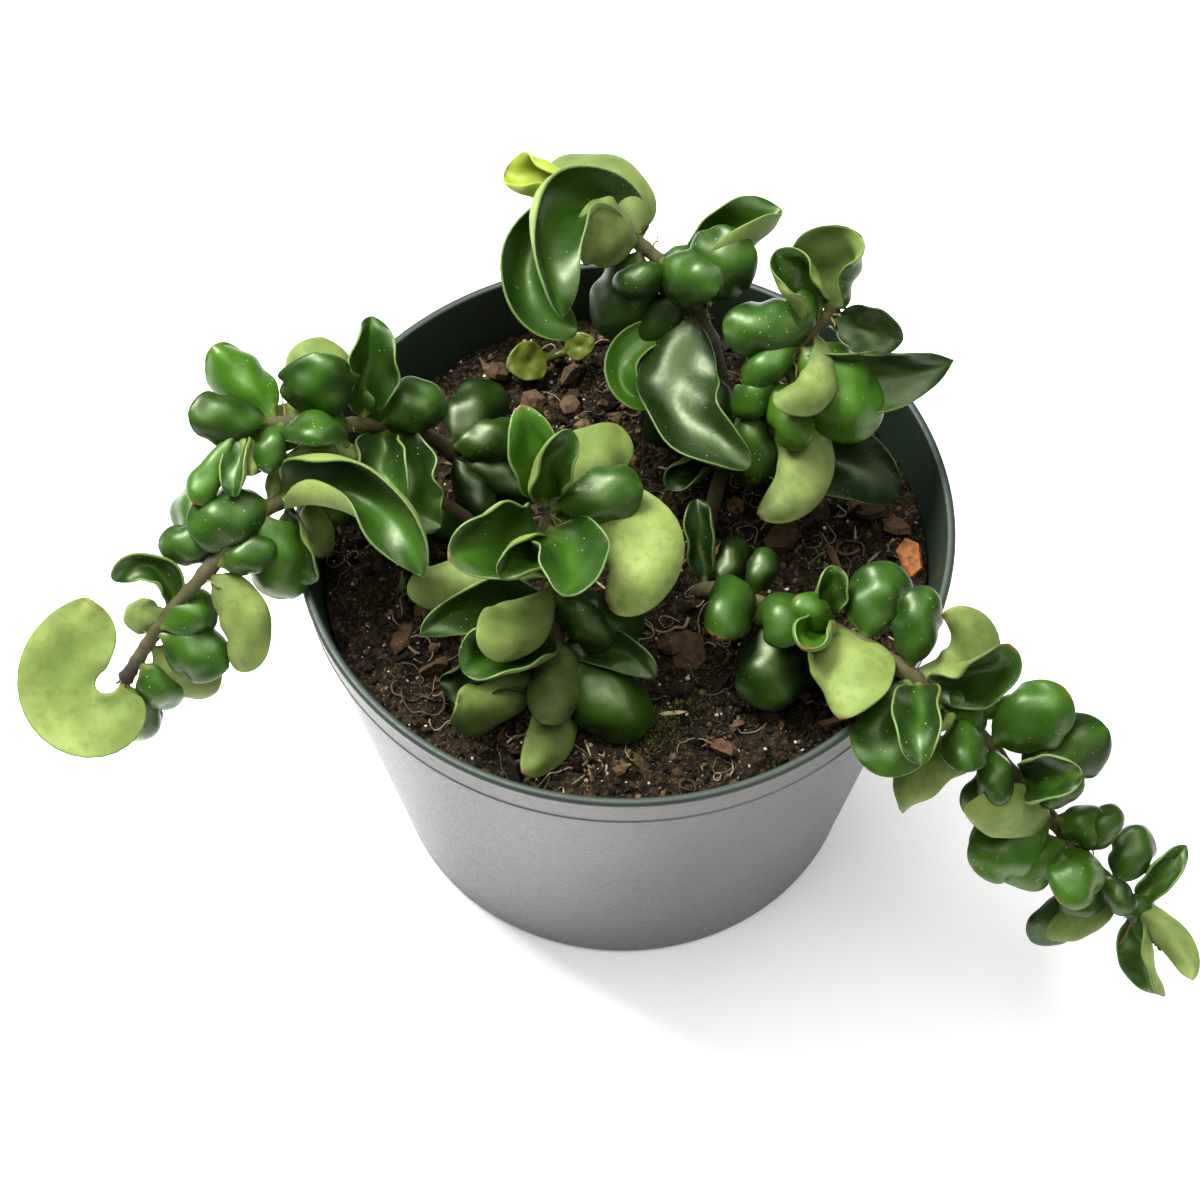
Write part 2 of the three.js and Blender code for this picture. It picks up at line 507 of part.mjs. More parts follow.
/** The pot: one moulded wall and floor turned about the axis, with holes to drain it. */
function potSolid() {
  const collar = POT_HEIGHT - COLLAR_HEIGHT;
  const underCollar = innerRadius(collar) + WALL;
  const profile = [
    [0, 0],
    [BASE_RADIUS - 2.5, 0],
    [BASE_RADIUS - 0.7, 0.7],
    [BASE_RADIUS, 2.5],
    [underCollar, collar - 0.6],
    [underCollar + COLLAR_STEP, collar + 0.5],
    [RIM_RADIUS, POT_HEIGHT - 0.8],
    [RIM_RADIUS - 0.6, POT_HEIGHT],
    [RIM_RADIUS - LIP_WIDTH, POT_HEIGHT],
    [innerRadius(FLOOR + 1.5), FLOOR + 1.5],
    [innerRadius(FLOOR) - 2, FLOOR],
    [0, FLOOR],
  ].map(([radius, z]) => new THREE.Vector2(radius, z));
  let solid = toSolid(new THREE.LatheGeometry(profile, POT_SIDES).rotateX(Math.PI / 2));
  for (let i = 0; i < HOLE_COUNT; i += 1) {
    const angle = 2 * Math.PI * (i + 0.5) / HOLE_COUNT;
    const drill = new THREE.CylinderGeometry(HOLE_RADIUS, HOLE_RADIUS, 4 * FLOOR, 12);
    drill.rotateX(Math.PI / 2);
    drill.translate(HOLE_CIRCLE * Math.cos(angle), HOLE_CIRCLE * Math.sin(angle), 0);
    solid = solid.subtract(toSolid(drill));
  }
  return solid;
}

// ---- Potting mix --------------------------------------------------------------------------

/** Height of the mix's top: a low crown with the ripples that chips and crumbs leave. */
function soilHeight(x, y) {
  const share = Math.hypot(x, y) / innerRadius(POT_HEIGHT - SOIL_DEPTH);
  const ripple = Math.sin(0.19 * x + 1.3) * Math.cos(0.23 * y)
    + 0.6 * Math.sin(0.41 * x - 0.33 * y + 0.7);
  return POT_HEIGHT - SOIL_DEPTH + SOIL_CROWN * (1 - share ** 2) + SOIL_RELIEF * ripple;
}

/** The mix fills the pot up to its rippled top, and each stem stands in a plain hole in it. */
function soilSolid() {
  const bottom = FLOOR + SEAT_GAP;
  const circle = (place) => Array.from({ length: POT_SIDES }, (_, k) => {
    const angle = 2 * Math.PI * k / POT_SIDES;
    return place(Math.cos(angle), Math.sin(angle));
  });
  const rings = [
    circle((x, y) => vector([x * (BASE_RADIUS - WALL - 3), y * (BASE_RADIUS - WALL - 3), bottom])),
    circle((x, y) => vector([x, y, 0]).multiplyScalar(innerRadius(bottom + 1.8) - SEAT_GAP - 0.2)
      .setZ(bottom + 1.8)),
  ];
  for (const share of [1, 0.85, 0.65, 0.4, 0.18]) {
    rings.push(circle((x, y) => {
      const reach = share * (innerRadius(POT_HEIGHT - SOIL_DEPTH - 2 * SOIL_RELIEF) - SEAT_GAP);
      const [px, py] = [x * reach, y * reach];
      return vector([px, py, soilHeight(px, py)]);
    }));
  }
  let solid = loft(rings.map((ring) => ring.reverse()), null, vector([0, 0, soilHeight(0, 0)]));
  for (const { path } of Object.values(VINES)) solid = solid.subtract(stemSolid(path, SEAT_GAP));
  return mainBody(solid);
}

// ---- Assembly -----------------------------------------------------------------------------

const PLASTIC = { color: 0x8e8b8e, roughness: 0.45, metalness: 0 };
const MIX = { color: 0x3a2a1d, roughness: 0.95, metalness: 0 };
const FOLIAGE = { color: 0x2f6b25, roughness: 0.35, metalness: 0 };

const plant = new THREE.Group();
plant.add(toMesh('pot', potSolid(), PLASTIC));
plant.add(toMesh('soil', soilSolid(), MIX));
for (const [name, vine] of Object.entries(VINES)) {
  plant.add(toMesh(name, vineSolid(vine), FOLIAGE));
}

export default plant;
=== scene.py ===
# %% [markdown]
# # A potted rope hoya
# The plant is a curly-leaved hoya in a 165 mm nursery pot: six leafy stems and a seedling that
# root in bark mix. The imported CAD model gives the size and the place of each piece. Here each
# one gets its fine shape and its finish: thick waxy leaves with a glossy dark upper face and a
# velvety pale underside, woody stems, loose mix with chips, roots and moss, and moulded plastic.
# The frame is loaded first, so that every later step can ask it where things are.

# %% Load the frame
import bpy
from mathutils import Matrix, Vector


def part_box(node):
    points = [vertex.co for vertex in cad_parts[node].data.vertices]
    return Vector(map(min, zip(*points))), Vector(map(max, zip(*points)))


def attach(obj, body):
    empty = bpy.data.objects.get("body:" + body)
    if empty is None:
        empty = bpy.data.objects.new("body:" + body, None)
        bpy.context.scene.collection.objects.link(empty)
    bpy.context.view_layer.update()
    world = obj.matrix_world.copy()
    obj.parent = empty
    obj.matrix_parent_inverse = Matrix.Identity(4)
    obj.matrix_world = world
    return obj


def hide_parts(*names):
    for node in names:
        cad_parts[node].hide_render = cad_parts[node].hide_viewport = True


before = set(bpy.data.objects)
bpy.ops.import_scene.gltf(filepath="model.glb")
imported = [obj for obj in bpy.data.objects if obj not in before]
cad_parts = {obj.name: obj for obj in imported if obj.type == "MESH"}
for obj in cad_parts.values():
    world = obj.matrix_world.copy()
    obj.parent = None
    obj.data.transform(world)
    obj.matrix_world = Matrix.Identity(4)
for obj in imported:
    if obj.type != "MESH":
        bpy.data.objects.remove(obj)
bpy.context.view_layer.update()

import bpy
import numpy as np

MM = 0.001
RAD = np.pi / 180

# %% [markdown]
# ## Camera
# The photograph looks down at the pot from about 57 degrees above the table, from a little
# under a metre, with a long lens: the rim is an ellipse whose far side is nearly as wide as its
# near side. A camera is placed by where it aims, how far off it is and how steeply it looks.

# %% Camera at the photograph's angle
AIM = np.array([-6.3, -23.4, 116.5]) * MM
DISTANCE = 800 * MM
VIEW_SLOPE = 33.3                # degrees away from looking straight down
LENS, SENSOR = 97.74, 36         # focal length and width of the sensor, in mm

slope = VIEW_SLOPE * RAD
camera_data = bpy.data.cameras.new("camera")
camera_data.lens = LENS
camera_data.sensor_width = SENSOR
camera = bpy.data.objects.new("camera", camera_data)
camera.location = AIM + DISTANCE * np.array([0, -np.sin(slope), np.cos(slope)])
camera.rotation_euler = (slope, 0, 0)
bpy.context.scene.collection.objects.link(camera)
bpy.context.scene.camera = camera
print("camera at", tuple(round(c, 3) for c in camera.location))

# %% [markdown]
# ## Meshes from arrays
# Every new piece is a surface worked out with numpy, and nearly all of them are tubes of rings
# with a cap at either end: a pot, a root, a stone and a leaf differ only in where their rings
# lie. One helper makes the object and gives each point its values for the materials to read, one
# lists the faces of tubes, and one turns a flat profile about the z axis.

# %% Helpers that make meshes
def make_piece(name, points, faces, values=None, replaced=()):
    """An object from points (n, 3) in metres, a list of faces, and named values per point."""
    mesh = bpy.data.meshes.new(name)
    mesh.from_pydata(points.tolist(), [], faces)
    mesh.polygons.foreach_set("use_smooth", np.ones(len(mesh.polygons), bool))
    for label, value in (values or {}).items():
        layer = mesh.attributes.new(label, "FLOAT", "POINT")
        layer.data.foreach_set("value", np.asarray(value, np.float32))
    mesh.update()
    piece = bpy.data.objects.new(name, mesh)
    bpy.context.scene.collection.objects.link(piece)
    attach(piece, "root")
    if replaced:
        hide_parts(*replaced)
    print(f"{name}: {len(mesh.vertices)} points, {len(mesh.polygons)} faces")
    return piece


def tube_faces(rows, columns, copies=1, turn=1):
    """
    Faces of a tube of rings, each ring a row of points: point k of a ring is joined to point
    k + 1 and to the same two of the next ring, and a flat cap closes either end. The faces are
    repeated for each of the copies, whose points follow one another. They look outwards where
    the rings run anticlockwise round their way, and with a turn of -1 where they run clockwise.
    """
    index = np.arange(rows * columns).reshape(rows, columns)
    right = np.roll(index, -1, axis=1)
    bands = np.stack([index[:-1], right[:-1], right[1:], index[1:]], -1).reshape(-1, 4)
    caps = np.stack([index[0, ::-1], index[-1]])
    start = rows * columns * np.arange(copies)[:, None, None]
    return [face for part in (bands, caps)
            for face in (part[:, ::turn] + start).reshape(-1, part.shape[1]).tolist()]


def turned(profile, sides):
    """Points of a surface of revolution: the profile's (radius, height) pairs, carried round."""
    angle = 2 * np.pi * np.arange(sides) / sides
    radius, height = np.asarray(profile, float).T[:, :, None]
    return np.stack([radius * np.cos(angle), radius * np.sin(angle),
                     height + 0 * angle], -1).reshape(-1, 3)


# %% [markdown]
# Three more helpers are needed by many pieces: a smooth step from 0 to 1, the unit vector of
# each direction in an array, and noise for crumbly or cracked surfaces.

# %% Helpers for shapes
LATTICE = 32                     # the noise repeats after so many cells
SHIFT = 1000                     # cells by which its origin is moved off the pot


def smooth_step(t):
    """The curve t * t * (3 - 2 * t), which leaves 0 and reaches 1 without a corner."""
    return t * t * (3 - 2 * t)


def unit(vectors):
    """Each vector divided by its length."""
    return vectors / (np.linalg.norm(vectors, axis=-1, keepdims=True) + 1e-9)


def noise(points, cell, seed):
    """
    Smooth noise between -1 and 1: random values on a lattice of that cell size, blended in each
    cell by a smooth step along x, y and z.
    """
    lattice = np.random.default_rng(seed).uniform(-1, 1, (LATTICE, LATTICE, LATTICE))
    place = np.asarray(points) / cell + SHIFT
    corner = np.floor(place).astype(int)
    share = smooth_step(place - corner)
    total = 0
    for step in np.ndindex(2, 2, 2):
        near = (corner + step) % LATTICE
        weight = np.prod(np.where(step, share, 1 - share), axis=-1)
        total = total + weight * lattice[near[..., 0], near[..., 1], near[..., 2]]
    return total


# %% [markdown]
# ## Finishes
# A finish is a small tree of shader nodes. The helper below has a short call for each kind of
# node, so that a finish reads as a few layers of colour, each mixed in by a pattern. Patterns
# read Object coordinates, or the values that the mesh carries for each point, so that they stay
# where they are when the piece is turned.

# %% Helpers that make finishes
def linear(red, green, blue):
    """A shader colour from the 0-255 numbers that a colour picker shows."""
    share = np.array([red, green, blue]) / 255
    return (*np.where(share <= 0.04045, share / 12.92, ((share + 0.055) / 1.055) ** 2.4), 1)


class Finish:
    """A material with one Principled BSDF and short ways to add the nodes it is fed by."""

    def __init__(self, name, roughness=0.5, specular=0.5, tint=(1, 1, 1, 1)):
        self.material = bpy.data.materials.new(name)
        self.material.use_nodes = True
        self.tree = self.material.node_tree
        self.shader = self.tree.nodes["Principled BSDF"]
        self.shader.inputs["Roughness"].default_value = roughness
        self.shader.inputs["Specular IOR Level"].default_value = specular
        self.shader.inputs["Specular Tint"].default_value = tint
        self.place = self.node("ShaderNodeTexCoord").outputs["Object"]

    def node(self, kind, **settings):
        """A new node of that kind, with its settings."""
        made = self.tree.nodes.new(kind)
        for name, value in settings.items():
            setattr(made, name, value)
        return made

    def feed(self, node, **values):
        """Plugs a value into each named socket; an underscore stands for the name's space."""
        for name, value in values.items():
            self.plug(node.inputs[name.replace("_", " ")], value)

    def plug(self, socket, value):
        """Gives one socket a number or colour, or links it to another node's output."""
        if isinstance(value, bpy.types.NodeSocket):
            self.tree.links.new(value, socket)
        else:
            socket.default_value = value

    def value(self, name):
        """What the mesh carries under this name."""
        return self.node("ShaderNodeAttribute", attribute_name=name).outputs["Fac"]

    def clouds(self, scale, detail=3.0, rough=0.55):
        """Soft noise round 0.5, with about so many clouds per metre."""
        made = self.node("ShaderNodeTexNoise")
        self.feed(made, Vector=self.place, Scale=scale, Detail=detail, Roughness=rough)
        return made.outputs["Fac"]

    def dots(self, scale, inner, outer, mask):
        """Round dots, so many per metre: 1 within inner of their middle and 0 past outer."""
        made = self.node("ShaderNodeTexVoronoi")
        self.feed(made, Vector=self.place, Scale=scale)
        return self.math("MULTIPLY", self.ramp(made.outputs["Distance"], inner, outer, 1, 0), mask)

    def math(self, operation, *values):
        """One step of arithmetic on numbers or outputs."""
        made = self.node("ShaderNodeMath", operation=operation)
        for socket, value in zip(made.inputs, values):
            self.plug(socket, value)
        return made.outputs[0]

    def ramp(self, fac, low, high, start=0.0, end=1.0):
        """The value carried from the range low..high to start..end, and held at both."""
        made = self.node("ShaderNodeMapRange")
        self.feed(made, Value=fac, From_Min=low, From_Max=high, To_Min=start, To_Max=end)
        return made.outputs["Result"]

    def mix(self, fac, first, second):
        """The first colour where fac is 0, the second where it is 1."""
        made = self.node("ShaderNodeMix", data_type="RGBA")
        for number, value in zip((0, 6, 7), (fac, first, second)):
            self.plug(made.inputs[number], value)
        return made.outputs[2]

    def cover(self, *pieces, colour, roughness=None, relief=None, depth=0.1 * MM, strength=1.0):
        """
        Wires the shader's colour, its roughness, and bumps of that depth in metres, and puts
        the material on the pieces.
        """
        self.feed(self.shader, Base_Color=colour)
        if roughness is not None:
            self.feed(self.shader, Roughness=roughness)
        if relief is not None:
            bump = self.node("ShaderNodeBump")
            self.feed(bump, Distance=depth, Strength=strength, Height=relief)
            self.feed(self.shader, Normal=bump.outputs["Normal"])
        for piece in pieces:
            piece.data.materials.append(self.material)
        print(f"finish {self.material.name}: {len(pieces)} piece(s)")


# %% [markdown]
# ## The pot
# A nursery pot is thin moulded plastic: a tapered wall, a collar that stiffens the rim, a
# rolled lip and a floor with drain holes. It could be a cylinder cut and bevelled, but one
# profile turned about the axis gives every step and radius in one go. The profile keeps the
# CAD's sizes, and the drain holes are cut through the floor at the end.

# %% Pot: sizes in mm
RIM, _, HEIGHT = (float(size) for size in np.array(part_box("pot")[1]) / MM)
TAPER = 20                       # the floor's radius is this much less than the rim's
BASE = RIM - TAPER
WALL, FLOOR = 1.7, 2.6
LIP = 2.3                        # width of the lip, from the outside to the inner wall
COLLAR = HEIGHT - 11             # height of the collar's lower edge
ARCH = 0.9                       # how far the underside's middle stands off the table
FOOT = 6.5                       # width of the ring that the pot stands on
HEEL = 2.55                      # radius of the rounding between that ring and the wall
BEAD = 0.5                       # radius of the bead along the collar's lower edge
LIP_OUTSIDE, LIP_INSIDE = 1.15, 0.7      # radii of the lip's two roundings
NEAR_AXIS = 0.02                 # the profile ends this close to the axis, and is capped
SIDES = 240


def inner_radius(height):
    """The inner wall's radius in mm: straight from the floor to the lip."""
    low, high = BASE - WALL, RIM - LIP
    return low + (high - low) * (height - FLOOR) / (HEIGHT - FLOOR)


print("pot", RIM, "mm in radius,", HEIGHT, "mm high")

# %% [markdown]
# The profile is a list of (radius, height) pairs. It starts under the floor, goes out over the
# foot and up the wall, makes the bead and the flaring collar, rounds the lip, and comes back
# down inside. Straight stretches have many points, because a surface that is smoothed over long
# faces shades badly next to a small rounding.

# %% Pot: profile
def arc(centre, radius, start, end, steps):
    """Points (radius, height) round a centre, from one angle in degrees to another."""
    angle = np.linspace(start, end, steps) * RAD
    return np.stack([centre[0] + radius * np.cos(angle), centre[1] + radius * np.sin(angle)], -1)


def line(start, end, shares):
    """Points on the straight line from start to end, at those shares of its length."""
    return np.array(start) + np.outer(shares, np.subtract(end, start))


under = inner_radius(COLLAR) + WALL      # outer radius just under the collar
down = HEIGHT - FLOOR - 4                # length of the inner wall's straight part
foot_of_wall = inner_radius(HEIGHT - 2 - 0.97 * down)
outside = np.concatenate([
    [(NEAR_AXIS, ARCH), (BASE - FOOT - 1.5, ARCH), (BASE - FOOT, 0.1)],
    arc((BASE - 2.5, 2.6), HEEL, -90, -8, 7),
    line((BASE, 2.6), (under, COLLAR - 2.6), np.linspace(0.02, 1, 40)),
    [(under + 0.15, COLLAR - 1.2), (under + 0.45, COLLAR - 0.3)],
    arc((under + 0.85, COLLAR + 0.35), BEAD, -75, 60, 8),
    line((under + 1.2, COLLAR + 1.5), (RIM - 0.35, COLLAR + 9.2), np.linspace(0.05, 1, 6))])
lip = np.concatenate([
    arc((RIM - LIP_OUTSIDE, HEIGHT - LIP_OUTSIDE), LIP_OUTSIDE, -15, 90, 9),
    arc((RIM - LIP + LIP_INSIDE, HEIGHT - 0.75), LIP_INSIDE, 100, 180, 5)])
inside = np.concatenate([
    line((inner_radius(HEIGHT - 2) - 0.1, HEIGHT - 2), (foot_of_wall - 0.1, FLOOR + 2),
         np.linspace(0, 1, 30)),
    [(inner_radius(FLOOR) - 2.2, FLOOR), (NEAR_AXIS, FLOOR)]])
profile = np.concatenate([outside, lip, inside])
is_inside = np.arange(len(profile)) >= len(outside) + 2
pot = make_piece("nursery_pot", turned(profile, SIDES) * MM, tube_faces(len(profile), SIDES),
                 {"inside": np.repeat(is_inside, SIDES)}, ["pot"])

# %% [markdown]
# The drain holes need a cut through the floor, and a Boolean does that well on a closed body.
# Each drill is a short turned rod, and all of them make one cutter, which is then removed.

# %% Pot: drain holes
HOLES, HOLE_SIDES = 8, 32
HOLE_RADIUS = 4.5
HOLE_CIRCLE = 48                 # radius of the circle that the holes stand on
DRILL_REACH = 3                  # how far a drill stands out below and above the floor

turn = 2 * np.pi * (np.arange(HOLES) + 0.5) / HOLES
places = HOLE_CIRCLE * np.stack([np.cos(turn), np.sin(turn), 0 * turn], -1)
rod = turned([(HOLE_RADIUS, -DRILL_REACH), (HOLE_RADIUS, FLOOR + DRILL_REACH)], HOLE_SIDES)
cutter_mesh = bpy.data.meshes.new("drills")
cutter_mesh.from_pydata(((rod + places[:, None]).reshape(-1, 3) * MM).tolist(), [],
                        tube_faces(2, HOLE_SIDES, HOLES))
cutter = bpy.data.objects.new("drills", cutter_mesh)
bpy.context.scene.collection.objects.link(cutter)

cut = pot.modifiers.new("drain holes", "BOOLEAN")
cut.operation = "DIFFERENCE"
cut.solver = "EXACT"
cut.object = cutter
bpy.context.view_layer.objects.active = pot
bpy.ops.object.modifier_apply(modifier=cut.name)
bpy.data.objects.remove(cutter)
print("pot after the holes:", len(pot.data.polygons), "faces")

# %% [markdown]
# The pot is grey outside and dark green inside, moulded in two layers. New pots have a satin
# skin with faint flow marks from the mould, fine scuffs and a little dust. One material reads
# the value "inside" that the mesh carries, and mixes the two colours by it.

# %% Pot: plastic
GREY, GREY_FLOW = linear(81, 80, 78), linear(71, 70, 69)
GREEN, GREEN_FLOW, POT_DUST = linear(26, 40, 28), linear(20, 32, 22), linear(84, 84, 72)

plastic = Finish("moulded plastic", specular=0.45)
scuffs, flow = plastic.clouds(900, 4), plastic.clouds(14, 2)
dust = plastic.ramp(plastic.clouds(60, 5, 0.7), 0.62, 0.8, 0, 0.25)
grey = plastic.mix(plastic.ramp(flow, 0.35, 0.7), GREY, GREY_FLOW)
green = plastic.mix(plastic.ramp(flow, 0.3, 0.7), GREEN, GREEN_FLOW)
green = plastic.mix(dust, green, POT_DUST)
within = plastic.value("inside")
satin = plastic.math("MULTIPLY_ADD", within, 0.12, plastic.ramp(scuffs, 0.3, 0.7, 0.36, 0.5))
plastic.cover(pot, colour=plastic.mix(within, grey, green), roughness=satin, relief=scuffs,
              depth=0.05 * MM, strength=0.35)

# %% [markdown]
# ## Potting mix
# The mix is bark, peat and perlite: a dark, crumbly bed that lies 18 mm under the rim. A plane
# with a bump would stay flat at the edges, so the bed is a round height field in real relief,
# and thousands of small chips, crumbs and pale grains lie in it. The bed reaches down into the
# pot as the CAD's does, because it can be seen through the drain holes.

# %% Potting mix: the bed
SOIL_LEVEL = HEIGHT - 17.5
SOIL_CROWN = 2.5                 # how much higher the middle is than the edge
SOIL_RIPPLE = 1.1                # height of the two long ripples
SOIL_GAP = 0.3
CRUMBLE = ((1.3, 7, 1), (1.0, 3.1, 2), (0.7, 1.4, 3))     # height, width and seed of crumbs
BED_RINGS, BED_SIDES = 150, 480


def soil_height(x, y):
    """
    Height of the bed in mm: SOIL_CROWN * (1 - share^2), share being the distance from the
    middle over the wall's radius, two long ripples made of sines, and crumbs as noise in three
    sizes.
    """
    share = np.hypot(x, y) / inner_radius(SOIL_LEVEL)
    ripple = np.sin(0.19 * x + 1.3) * np.cos(0.23 * y) + 0.6 * np.sin(0.41 * x - 0.33 * y + 0.7)
    flat = np.stack([x, y, 0 * x], -1)
    crumbs = sum(height * noise(flat, wide, seed) for height, wide, seed in CRUMBLE)
    return SOIL_LEVEL + SOIL_CROWN * (1 - share ** 2) + SOIL_RIPPLE * ripple + crumbs


angle = 2 * np.pi * np.arange(BED_SIDES) / BED_SIDES
reach = np.linspace(1, 0.004, BED_RINGS)[:, None] * (inner_radius(SOIL_LEVEL - 2) - SOIL_GAP)
x, y = reach * np.cos(angle), reach * np.sin(angle)
top = np.stack([x, y, soil_height(x, y)], -1).reshape(-1, 3)
underside = [(0.3, FLOOR + SOIL_GAP), (BASE - WALL - 3, FLOOR + SOIL_GAP),
             (inner_radius(FLOOR + 2) - 2 * SOIL_GAP, FLOOR + 2)]
bed_points = np.concatenate([turned(underside, BED_SIDES), top])
bed = make_piece("potting_mix", bed_points * MM,
                 tube_faces(len(underside) + BED_RINGS, BED_SIDES), replaced=["soil"])

# %% [markdown]
# Chips, crumbs and grains are all stones of one kind: a rounded box on a coarse grid, with
# each point pushed in or out at random. Their faces stay flat, so they look broken, not worn
# round. One call scatters as many as it is asked for, each with its own size, turn, place and
# tone, as one array, so a thousand cost no more than one.

# %% Potting mix: stones
STONE_ROWS, STONE_COLUMNS = 4, 6


def stone():
    """A rounded box 1 wide: each point of a ball over its largest coordinate^0.6, halved."""
    polar = (np.pi * (np.arange(STONE_ROWS) + 0.5) / STONE_ROWS)[:, None]
    turn = 2 * np.pi * np.arange(STONE_COLUMNS) / STONE_COLUMNS
    ball = np.stack([np.sin(polar) * np.cos(turn), np.sin(polar) * np.sin(turn),
                     np.cos(polar) + 0 * turn], -1).reshape(-1, 3)
    return 0.5 * ball / np.max(np.abs(ball), axis=1, keepdims=True) ** 0.6


def random_turns(count, rng):
    """Random rotation matrices, from random unit quaternions."""
    w, x, y, z = unit(rng.normal(size=(4, count)).T).T
    return np.moveaxis(np.array([
        [1 - 2 * (y * y + z * z), 2 * (x * y - z * w), 2 * (x * z + y * w)],
        [2 * (x * y + z * w), 1 - 2 * (x * x + z * z), 2 * (y * z - x * w)],
        [2 * (x * z - y * w), 2 * (y * z + x * w), 1 - 2 * (x * x + y * y)]]), -1, 0)


def scatter(name, places, sizes, rng, rough=0.18, sink=0.2, tones=None):
    """
    Stones of those sizes (length, width, thickness in mm) at those places on the bed: each
    point of the stone is moved out by a random share, scaled, turned, and set on the bed with a
    share of its thickness sunk in.
    """
    count, base = len(places), stone()
    shape = base * (1 + rough * rng.normal(size=(count, len(base), 1)).clip(-2, 2))
    shape = np.einsum("nij,nkj->nki", random_turns(count, rng), shape * sizes[:, None])
    height = soil_height(*places.T) + (0.5 - sink) * sizes.min(axis=1)
    shape = shape + np.concatenate([places, height[:, None]], 1)[:, None]
    faces = tube_faces(STONE_ROWS, STONE_COLUMNS, count, turn=-1)
    tone = rng.uniform(0, 0.9, count) if tones is None else tones
    piece = make_piece(name, shape.reshape(-1, 3) * MM, faces,
                       {"tone": np.repeat(tone, len(base))})
    piece.data.polygons.foreach_set("use_smooth", np.zeros(len(faces), bool))
    return piece


def random_places(count, rng, margin):
    """Places on the bed, evenly spread over its disc, clear of the wall by the margin."""
    angle = rng.uniform(0, 2 * np.pi, count)
    reach = (inner_radius(SOIL_LEVEL) - margin) * np.sqrt(rng.uniform(0, 1, count))
    return np.stack([reach * np.cos(angle), reach * np.sin(angle)], -1)


# %% Potting mix: crumbs, chips and grains
CRUMBS, CHIPS, GRAINS = 4400, 420, 420
CHIP_SHAPE = np.array([1, 0.55, 0.28])   # a chip's length, width and thickness

rng = np.random.default_rng(7)
crumbs = scatter("crumbs", random_places(CRUMBS, rng, 1.5),
                 rng.uniform(0.5, 2.3, (CRUMBS, 1)) * rng.uniform(0.35, 1, (CRUMBS, 3)), rng)
chips = scatter("bark_chips", random_places(CHIPS, rng, 5),
                rng.uniform(2.2, 7.5, (CHIPS, 1)) * CHIP_SHAPE
                * rng.uniform(0.6, 1.3, (CHIPS, 3)), rng, rough=0.2, sink=0.3)
grains = scatter("perlite", random_places(GRAINS, rng, 2),
                 rng.uniform(0.3, 1.2, (GRAINS, 1)) * rng.uniform(0.6, 1, (GRAINS, 3)),
                 rng, rough=0.12, sink=0.1)

# %% [markdown]
# A few chips are large and bright enough to stand out: an orange flake by the right wall, a tan
# one under the right stem, and reddish lumps in the front. They are listed one by one, and made
# by the same call. So are slivers of straw, long and thin, most of them anywhere and some
# together near the front edge.

# %% Potting mix: what stands out
# x, y, length, width, thickness in mm, and tone
large = np.array([
    [72, -3, 11, 6.5, 3.2, 0.98], [43, -44, 6.5, 3.5, 2.0, 0.93], [16, -31, 12, 9, 6, 0.78],
    [12, -29, 9, 7, 5, 0.74], [40, 3, 12, 9, 6, 0.76], [50, 12, 8, 6, 4, 0.72],
    [62, 14, 11, 8, 5, 0.78], [69, 7, 8, 7, 4, 0.82], [-56, -24, 14, 7, 3, 0.74],
    [-47, -35, 11, 6, 3, 0.8], [-52, -14, 11, 5, 3, 0.6], [36, -36, 13, 10, 6, 0.8],
    [24, -58, 8, 6, 4, 0.78], [-24, 47, 7, 6, 4, 0.8], [-33, 55, 9, 6, 4, 0.7],
    [-14, 56, 8, 6, 4, 0.75], [35, -50, 9, 7, 4, 0.55], [-14, 46, 6, 5, 4, 0.78]])
flakes = scatter("large_chips", large[:, :2], large[:, 2:5], np.random.default_rng(21),
                 rough=0.08, sink=0.1, tones=large[:, 5])

SLIVERS, BUNCHED = 90, 14
BUNCH, BUNCH_SPREAD = (-5, -61), (4, 1.5)
SLIVER_SHAPE = np.array([6, 0.8, 0.45])
places = np.concatenate([random_places(SLIVERS - BUNCHED, rng, 4),
                         rng.normal(BUNCH, BUNCH_SPREAD, (BUNCHED, 2))])
slivers = scatter("straw", places, rng.uniform(0.5, 1.2, (SLIVERS, 1)) * SLIVER_SHAPE, rng,
                  rough=0.15, sink=0.1)

# %% [markdown]
# The mix is almost black where it is damp and warm brown where a crumb is dry. Its material
# mixes three browns by noise in two sizes, with pale grit in some places.

# %% Potting mix: damp peat
WET_PEAT, PEAT, DRY_PEAT = linear(10, 8, 4), linear(28, 22, 12), linear(74, 58, 34)
GRIT = linear(128, 104, 66)

damp = Finish("potting mix", roughness=0.9, specular=0.12)
specks = damp.clouds(700, 4, 0.7)
brown = damp.mix(damp.ramp(damp.clouds(95, 5, 0.65), 0.38, 0.62), WET_PEAT, PEAT)
brown = damp.mix(damp.ramp(specks, 0.5, 0.7), brown, DRY_PEAT)
grit = damp.dots(900, 0.1, 0.18, damp.ramp(damp.clouds(150), 0.48, 0.56))
damp.cover(bed, colour=damp.mix(grit, brown, GRIT), relief=specks, depth=1.2 * MM)

# %% [markdown]
# The chips share one material. Each has its own tone, from wet umber over dry brown to a rare
# orange, with pale crystals here and there and dark grain over all. Straw and grains are plain:
# two colours, mixed by each one's tone, and a fine relief.

# %% Potting mix: bark, straw and grains
UMBER, BROWN_BARK, ORANGE_BARK = linear(38, 28, 16), linear(100, 76, 52), linear(164, 98, 50)
CRYSTAL, BARK_CRACK = linear(176, 160, 132), linear(14, 11, 6)
OLD_STRAW, PALE_STRAW = linear(66, 52, 32), linear(176, 162, 122)
STAINED, WHITE_GRAIN = linear(112, 96, 72), linear(182, 174, 154)

